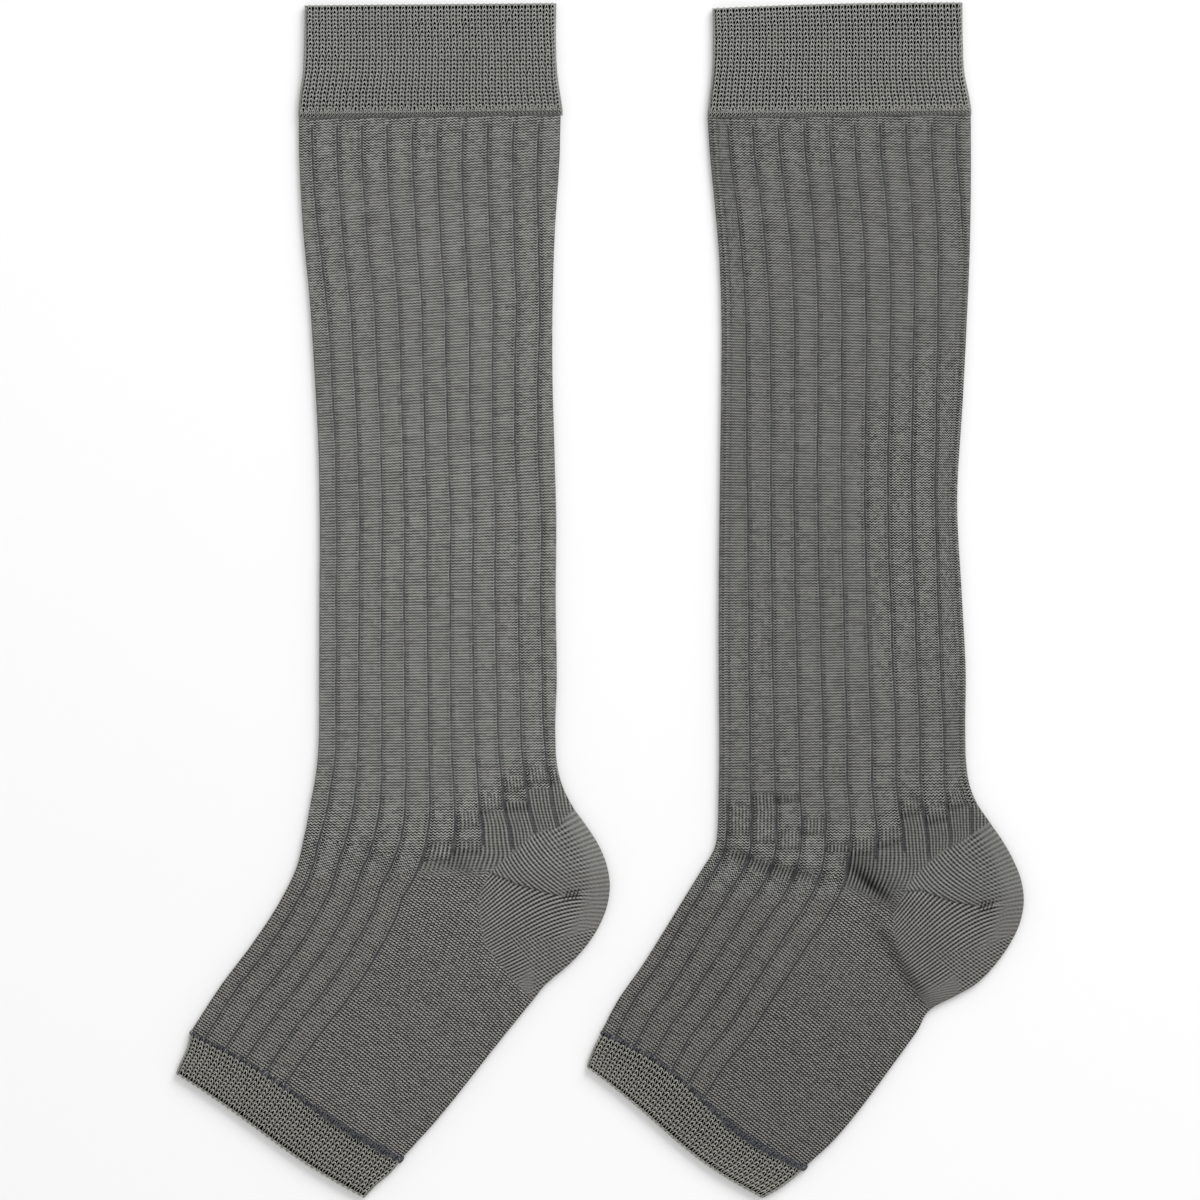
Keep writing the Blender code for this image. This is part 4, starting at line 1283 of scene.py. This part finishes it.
class Finish:
    """A material under construction: its node tree and its one Principled shader."""

    def __init__(self, name):
        self.material = bpy.data.materials.new(name)
        self.material.use_nodes = True
        self.tree = self.material.node_tree
        self.shader = self.tree.nodes["Principled BSDF"]

    def layer(self, name):
        """The three numbers that a mesh stores for each point under this name."""
        node = add_node(self.tree, "Attribute", {}, attribute_name=name)
        parts = add_node(self.tree, "SeparateXYZ", {0: Wire(node.outputs["Vector"])})
        return [Wire(output) for output in parts.outputs]

    def vector(self, x, y, z):
        return Wire(add_node(self.tree, "CombineXYZ", {0: x, 1: y, 2: z}).outputs[0])

    def place(self):
        """Where a point is on the object, in metres."""
        return Wire(add_node(self.tree, "TexCoord", {}).outputs["Object"])

    def noise(self, vector, scale, detail=2.0):
        inputs = {"Vector": vector, "Scale": scale, "Detail": detail}
        return Wire(add_node(self.tree, "TexNoise", inputs).outputs["Fac"])

    def chance(self, x, y, z):
        """A number from 0 to 1 that is different for each stitch."""
        inputs = {"Vector": self.vector(x, y, z)}
        return Wire(add_node(self.tree, "TexWhiteNoise", inputs).outputs["Value"])

    def blend(self, colour_a, colour_b, share):
        """One colour turning into another, each of them a wire or three numbers."""
        colours = [each if isinstance(each, Wire) else (*each, 1.0) for each in (colour_a, colour_b)]
        inputs = {"Factor": share, 6: colours[0], 7: colours[1]}
        return Wire(add_node(self.tree, "Mix", inputs, data_type="RGBA").outputs[2])

    def brighten(self, colour, amount):
        """A colour times a number."""
        inputs = {0: colour, "Scale": amount}
        return Wire(add_node(self.tree, "VectorMath", inputs, operation="SCALE").outputs[0])

    def bump(self, height, distance):
        """Raises the surface by a height from 0 to 1 times a distance in metres."""
        node = add_node(self.tree, "Bump", {"Height": height, "Distance": distance})
        plug(self.shader.inputs["Normal"], Wire(node.outputs["Normal"]))

    def yarn_shine(self, colour, roughness, bloom=0.02):
        """Ends a yarn's nodes: its colour, its roughness and the soft bloom of its fibres."""
        for name, value in (
            ("Base Color", colour),
            ("Roughness", roughness),
            ("Specular IOR Level", 4 * bloom),
            ("Sheen Weight", bloom),
            ("Sheen Roughness", 0.6),
        ):
            plug(self.shader.inputs[name], value)
        return self.material


def purl_stitches(finish, ribs, courses, flaws, wander):
    """Zigzag rows of purl stitches: how light the yarn is, and how far it is from the nearest groove."""
    place = ribs.fraction()
    wale = (place - GROOVE_SHARE / 2) * (PURL_WALES / (1 - GROOVE_SHARE)) + wander * 0.2
    middle = wale.wave()
    level = courses + flaws * 0.45
    row = level + middle.rest() * 0.5
    blobs = middle * level.wave().rest() + middle.rest() * level.wave() * 0.8
    chance = finish.chance(wale.floor(), row.floor(), ribs.floor())
    gap = (blobs * 0.42 + row.wave().rest() * 0.58).step(0.24, 0.6)
    light = gap.rest() * (chance * 0.8 + 0.8) + gap * (chance * 0.34 - 0.12)
    first = (wale - 0.5).size().step(0.2, 0.55).rest()
    last = (wale - (PURL_WALES - 0.5)).size().step(0.2, 0.55).rest()
    light = light - (gap + 0.1) * (first + last * 0.4)
    from_groove = place.reckon("PINGPONG", 0.5) + wander * 0.02
    beside = (from_groove - 0.068).size().step(0.008, 0.03).rest()
    return light.towards(chance * 0.3 + 0.75, beside * 0.3), from_groove


def plain_stitches(finish, ribs, courses, flaws):
    """Plain knit seen from its outside: rows of short strokes, parted by dark dashes."""
    wale = ribs * PLAIN_WALES
    row = courses + wale.fraction() * 0.3 + flaws * 0.6
    chance = finish.chance(wale.floor(), row.floor(), 0.5)
    light = (row.wave() * 0.74 + wale.wave() * 0.26).step(0.34, 0.72)
    return light * (chance * 0.7 + 0.7) - light.rest() * 0.06


def striped_stitches(finish, wales, courses, strength):
    """Knit in which the wales show as stripes and the courses as fainter lines across them."""
    chance = finish.chance(wales.floor(), courses.floor(), 1.5)
    stripe = wales.wave().step(0.22, 0.82)
    line = courses.wave().step(0.2, 0.9)
    return line.towards(stripe, strength) * (chance * 0.2 + 0.88)


def heel_stitches(finish, upper, lower, gore, edge, crossed):
    """The turned heel: stripes above and below its join line, and fine rows alone beside the fold."""
    above = striped_stitches(finish, *upper, edge.step(8.0, 24.0) * 0.5 + 0.35)
    below = striped_stitches(finish, *lower, 0.82)
    hatch = striped_stitches(finish, *lower, 0.45)
    below = below.towards(hatch, crossed.step(-0.8, 0.8))
    knit = (below * 0.97 - 0.03).towards(above * 0.72 + 0.05, gore.step(-0.15, 0.15))
    fine = upper[1].wave() * 0.36 + 0.27
    return fine.towards(knit, edge.step(5.0, 12.0).at_least(crossed.step(-2.0, 2.0)))


def heel_join(gore, edge, on_heel):
    """What is left of the light along the heel's join line and at the knot of bars at its outer end."""
    knot = gore.size().step(1.6, 2.6).rest() * on_heel * edge.step(10.5, 12.5) * edge.step(16.0, 18.5).rest()
    bars = (edge * 0.72 + gore * 0.1).wave().step(0.25, 0.7).rest()
    join = gore.size().step(0.15, 0.8).rest() * on_heel * edge.step(15.0, 21.0)
    return (bars * knot * 0.75).rest() * (join * 0.4).rest()


def groove_shade_share(finish, ribs, courses, depth, from_groove, fibre):
    """How much of a groove's smooth yarn shows, broken up along its length; that yarn is painted dark as the
    shade in the groove.
    """
    breadth = (depth - 1.0).at_least(0.0) * 0.5 + 1.0
    present = depth.at_most(1.0)
    groove = (from_groove / (breadth * present + 0.01)).step(0.024, 0.056).rest()
    broken = finish.noise(finish.vector(ribs.floor(), courses, 3.0), 0.31).step(0.36, 0.56) * 0.45 + 0.62
    return groove * present.step(0.0, 0.7) * (fibre * 0.9 + broken).at_most(1.0)


def leg_finish(colours):
    """Ribs, grooves, plain sole and turned heel in one yarn."""
    finish = Finish("ribbed_yarn")
    ribs, groove_depth, _ = finish.layer("rib_place")
    leg_rows, foot_rows, below = finish.layer("row_place")
    plain, bars, tone = finish.layer("knit_kind")
    *upper, heel = finish.layer("heel_upper")
    *lower, gore = finish.layer("heel_lower")
    edge, crossed, ankle = finish.layer("fold_gap")
    place = finish.place()
    uneven = (finish.noise(place, 420.0, 1.0) - 0.5) * 7.0
    courses = leg_rows.towards(foot_rows, (below + uneven).reckon("GREATER_THAN", 0.0))

    stitch = finish.vector(ribs * PLAIN_WALES, courses, 0.0)
    flaws = finish.noise(stitch, 0.23, 1.0) * 0.4 + finish.noise(stitch, 0.85, 1.0) * 0.7 - 0.55
    wander = finish.noise(finish.vector(courses, ribs * PLAIN_WALES, 7.0), 0.6, 1.0) - 0.5
    fibre = finish.noise(stitch, 1.9) - 0.5
    patches = finish.noise(place, 26.0, 3.0) - 0.5

    purl, from_groove = purl_stitches(finish, ribs, courses, flaws, wander)
    rows = plain_stitches(finish, ribs, courses, flaws)
    light = rows.towards(purl, ankle * 0.7 + 0.3)
    wales = ribs * PLAIN_WALES - 0.5
    above_heel = striped_stitches(finish, wales, courses, 0.7) * 0.56 + 0.06
    light = light.towards(rows.towards(above_heel, ankle), plain)
    stroke = wales.wave().step(0.3, 0.8) * (bars * 0.48 - 0.02) + light * 0.24
    light = light.towards(stroke, (bars * 0.8).at_most(1.0))
    on_heel = heel.step(-1.2, 1.2)
    light = light.towards(heel_stitches(finish, upper, lower, gore, edge, crossed), on_heel)
    light = (light + fibre * 0.5 + patches * 0.12).at_least(0.0).at_most(1.3)

    colour = finish.blend(colours.gaps, finish.blend(colours.foot_yarn, colours.yarn, ankle), light)
    groove = groove_shade_share(finish, ribs, courses, groove_depth, from_groove, fibre)
    # The grooves' colour is painted shade: the smooth yarn darkened for the shade in the grooves.
    smooth = finish.brighten(colours.grooves, fibre * 1.2 + courses.wave() * 0.5 + 0.7)
    colour = finish.blend(colour, smooth, groove)
    # The tone brings in the painted shade of the right sock and of the deep creases.
    colour = finish.brighten(colour, heel_join(gore, edge, on_heel) * tone)
    finish.bump(light.towards(0.0, groove), STITCH_RELIEF)
    return finish.yarn_shine(colour, fibre * 0.25 + 0.82)


def openwork_finish(name, yarn):
    """The looped yarn of a cuff or toe band, lighter on its arches: painted light on the raised arches,
    painted shade on the lower sinkers between them.
    """
    finish = Finish(name)
    crest, _, _ = finish.layer("loop")
    place = finish.place()
    fibre = finish.noise(place, 2600.0) - 0.5
    patches = finish.noise(place, 40.0, 3.0) - 0.5
    # Painted light and shade: the arches, which stand up into the light, are brightened, and the lower
    # sinkers between them are left darker.
    colour = finish.brighten(yarn, crest * 0.7 + 0.88 + fibre * 0.4 + patches * 0.16)
    finish.bump(fibre, FIBRE_RELIEF)
    return finish.yarn_shine(colour, fibre * 0.25 + 0.82)


def shade_sheet_finish(name, shade_sheet):
    """A near-black sheet of painted shade for the openwork's shaded inside, with a little of its knit
    showing.
    """
    finish = Finish(name)
    fibre = finish.noise(finish.place(), 900.0) - 0.5
    finish.bump(fibre, FIBRE_RELIEF)
    return finish.yarn_shine(finish.brighten(shade_sheet, fibre * 0.8 + 1.0), fibre * 0.2 + 0.9, bloom=0.0)


def seam_finish(thread):
    """The woolly overlocking thread."""
    finish = Finish("seam_thread")
    fibre = finish.noise(finish.place(), 1800.0, 3.0) - 0.5
    finish.bump(fibre, THREAD_RELIEF)
    return finish.yarn_shine(finish.brighten(thread, fibre * 2.2 + 1.0), fibre * 0.2 + 0.85)


def floor_finish(pale):
    """A plain pale floor with the faintest mottling."""
    finish = Finish("pale_floor")
    mottle = finish.noise(finish.place(), 8.0) - 0.5
    plug(finish.shader.inputs["Base Color"], finish.brighten(pale, mottle * 0.01 + 1.0))
    plug(finish.shader.inputs["Roughness"], mottle * 0.1 + 0.8)
    return finish.material


class KNIT_OT_legs(bpy.types.Operator):
    """Knit the ribbed legs, with their heels and feet"""

    bl_idname = "knit.legs"
    bl_label = "Knit legs"

    def execute(self, context):
        material = leg_finish(context.scene.sock_colours)
        for sock in (LEFT, RIGHT):
            piece = knit_leg(context.scene.sock_sizes, sock, material)
        return {"FINISHED"}


class KNIT_OT_cuffs(bpy.types.Operator):
    """Knit the openwork cuffs over near-black sheets of painted shade"""

    bl_idname = "knit.cuffs"
    bl_label = "Knit cuffs"

    def execute(self, context):
        sizes, colours = context.scene.sock_sizes, context.scene.sock_colours
        # The ground is a near-black sheet of painted shade, for the cuffs' shaded inside.
        shade_sheet = shade_sheet_finish("cuff_ground", colours.mesh_shade_sheet)
        yarn = openwork_finish("cuff_yarn", colours.mesh_yarn)
        for sock, seed in ((LEFT, 11), (RIGHT, 12)):
            cloth = cloth_through(sock.cuff, sizes.cuff_wall / MM, sock.ridges)
            layout = cuff_layout(cloth, sizes.cuff_course / MM)
            base, loops, rim = knit_openwork(
                sizes,
                sock.name + "_cuff",
                cloth,
                CUFF_INSET,
                layout,
                seed,
                (shade_sheet, yarn),
                hem=[hem_courses(cloth, seed + 4)],
            )
        return {"FINISHED"}


class KNIT_OT_toe_bands(bpy.types.Operator):
    """Knit the openwork toe bands over near-black sheets of painted shade"""

    bl_idname = "knit.toe_bands"
    bl_label = "Knit toe bands"

    def execute(self, context):
        sizes, colours = context.scene.sock_sizes, context.scene.sock_colours
        # The ground is a near-black sheet of painted shade, for the toe bands' shaded inside.
        shade_sheet = shade_sheet_finish("band_ground", colours.mesh_shade_sheet)
        yarn = openwork_finish("band_yarn", colours.band_yarn)
        for sock, seed in ((LEFT, 21), (RIGHT, 22)):
            cloth = cloth_through(sock.band, sizes.band_wall / MM, sock.ridges)
            layout = band_layout(cloth, sizes.band_course / MM)
            name = sock.name + "_toe_band"
            base, loops, rim = knit_openwork(
                sizes, name, cloth, BAND_INSET, layout, seed, (shade_sheet, yarn)
            )
        return {"FINISHED"}


class KNIT_OT_toe_seams(bpy.types.Operator):
    """Overlock the toe bands to the feet with dark thread"""

    bl_idname = "knit.toe_seams"
    bl_label = "Overlock toe seams"

    def execute(self, context):
        material = seam_finish(context.scene.sock_colours.seam)
        for sock, seed in ((LEFT, 4), (RIGHT, 5)):
            knit_seam(context.scene.sock_sizes, sock, material, seed)
        return {"FINISHED"}


class KNIT_OT_stage(bpy.types.Operator):
    """Lay the pale floor and set up the soft lights and the camera"""

    bl_idname = "knit.stage"
    bl_label = "Lay stage"

    def execute(self, context):
        scene, stage = context.scene, context.scene.sock_stage
        corners = [(x * FLOOR_REACH, y * FLOOR_REACH, 0.0) for x, y in ((-1, -1), (1, -1), (1, 1), (-1, 1))]
        mesh = bpy.data.meshes.new("floor")
        mesh.from_pydata(corners, [], [(0, 1, 2, 3)])
        mesh.materials.append(floor_finish(scene.sock_colours.floor))
        add_object("floor", mesh)

        lens = bpy.data.cameras.new("camera")
        lens.sensor_width = SENSOR_WIDTH
        lens.lens = SENSOR_WIDTH * stage.camera_height / stage.view_width
        lens.clip_end = CLIP_END
        scene.camera = add_object("camera", lens)
        scene.camera.location = (CAMERA_X, 0.0, stage.camera_height)

        lamp = bpy.data.lights.new("key_light", "AREA")
        lamp.shape = "SQUARE"
        lamp.size = KEY_SIZE
        lamp.energy = stage.key_watts
        key = add_object("key_light", lamp)
        key.location = KEY_PLACE
        key.rotation_euler = [radians(turn) for turn in KEY_TURN]

        world = bpy.data.worlds.new("even_light")
        world.use_nodes = True
        background = world.node_tree.nodes["Background"]
        background.inputs["Color"].default_value = (1.0, 1.0, 1.0, 1.0)
        background.inputs["Strength"].default_value = stage.sky_strength
        scene.world = world
        scene.view_settings.view_transform = "Standard"
        scene.view_settings.look = "None"
        return {"FINISHED"}


OPERATORS = (KNIT_OT_stage, KNIT_OT_legs, KNIT_OT_cuffs, KNIT_OT_toe_bands, KNIT_OT_toe_seams)


class KNIT_PT_socks(bpy.types.Panel):
    """Sizes, colours and steps of the pair of socks"""

    bl_idname = "KNIT_PT_socks"
    bl_label = "Long socks"
    bl_space_type = "VIEW_3D"
    bl_region_type = "UI"
    bl_category = "Long socks"

    def draw(self, context):
        scene = context.scene
        for heading, group in (
            ("Sizes", scene.sock_sizes),
            ("Colours", scene.sock_colours),
            ("Stage", scene.sock_stage),
        ):
            box = self.layout.box()
            box.label(text=heading)
            for name in group.__annotations__:
                box.prop(group, name)
        for operator in OPERATORS:
            self.layout.operator(operator.bl_idname)


CLASSES = (SockSizes, SockColours, StageSizes, *OPERATORS, KNIT_PT_socks)


def register():
    for each in CLASSES:
        bpy.utils.register_class(each)
    bpy.types.Scene.sock_sizes = bpy.props.PointerProperty(type=SockSizes)
    bpy.types.Scene.sock_colours = bpy.props.PointerProperty(type=SockColours)
    bpy.types.Scene.sock_stage = bpy.props.PointerProperty(type=StageSizes)


def unregister():
    del bpy.types.Scene.sock_stage
    del bpy.types.Scene.sock_colours
    del bpy.types.Scene.sock_sizes
    for each in reversed(CLASSES):
        bpy.utils.unregister_class(each)


def main():
    register()
    bpy.ops.knit.stage()
    bpy.ops.knit.legs()
    bpy.ops.knit.cuffs()
    bpy.ops.knit.toe_bands()
    bpy.ops.knit.toe_seams()


if __name__ == "__main__":
    main()
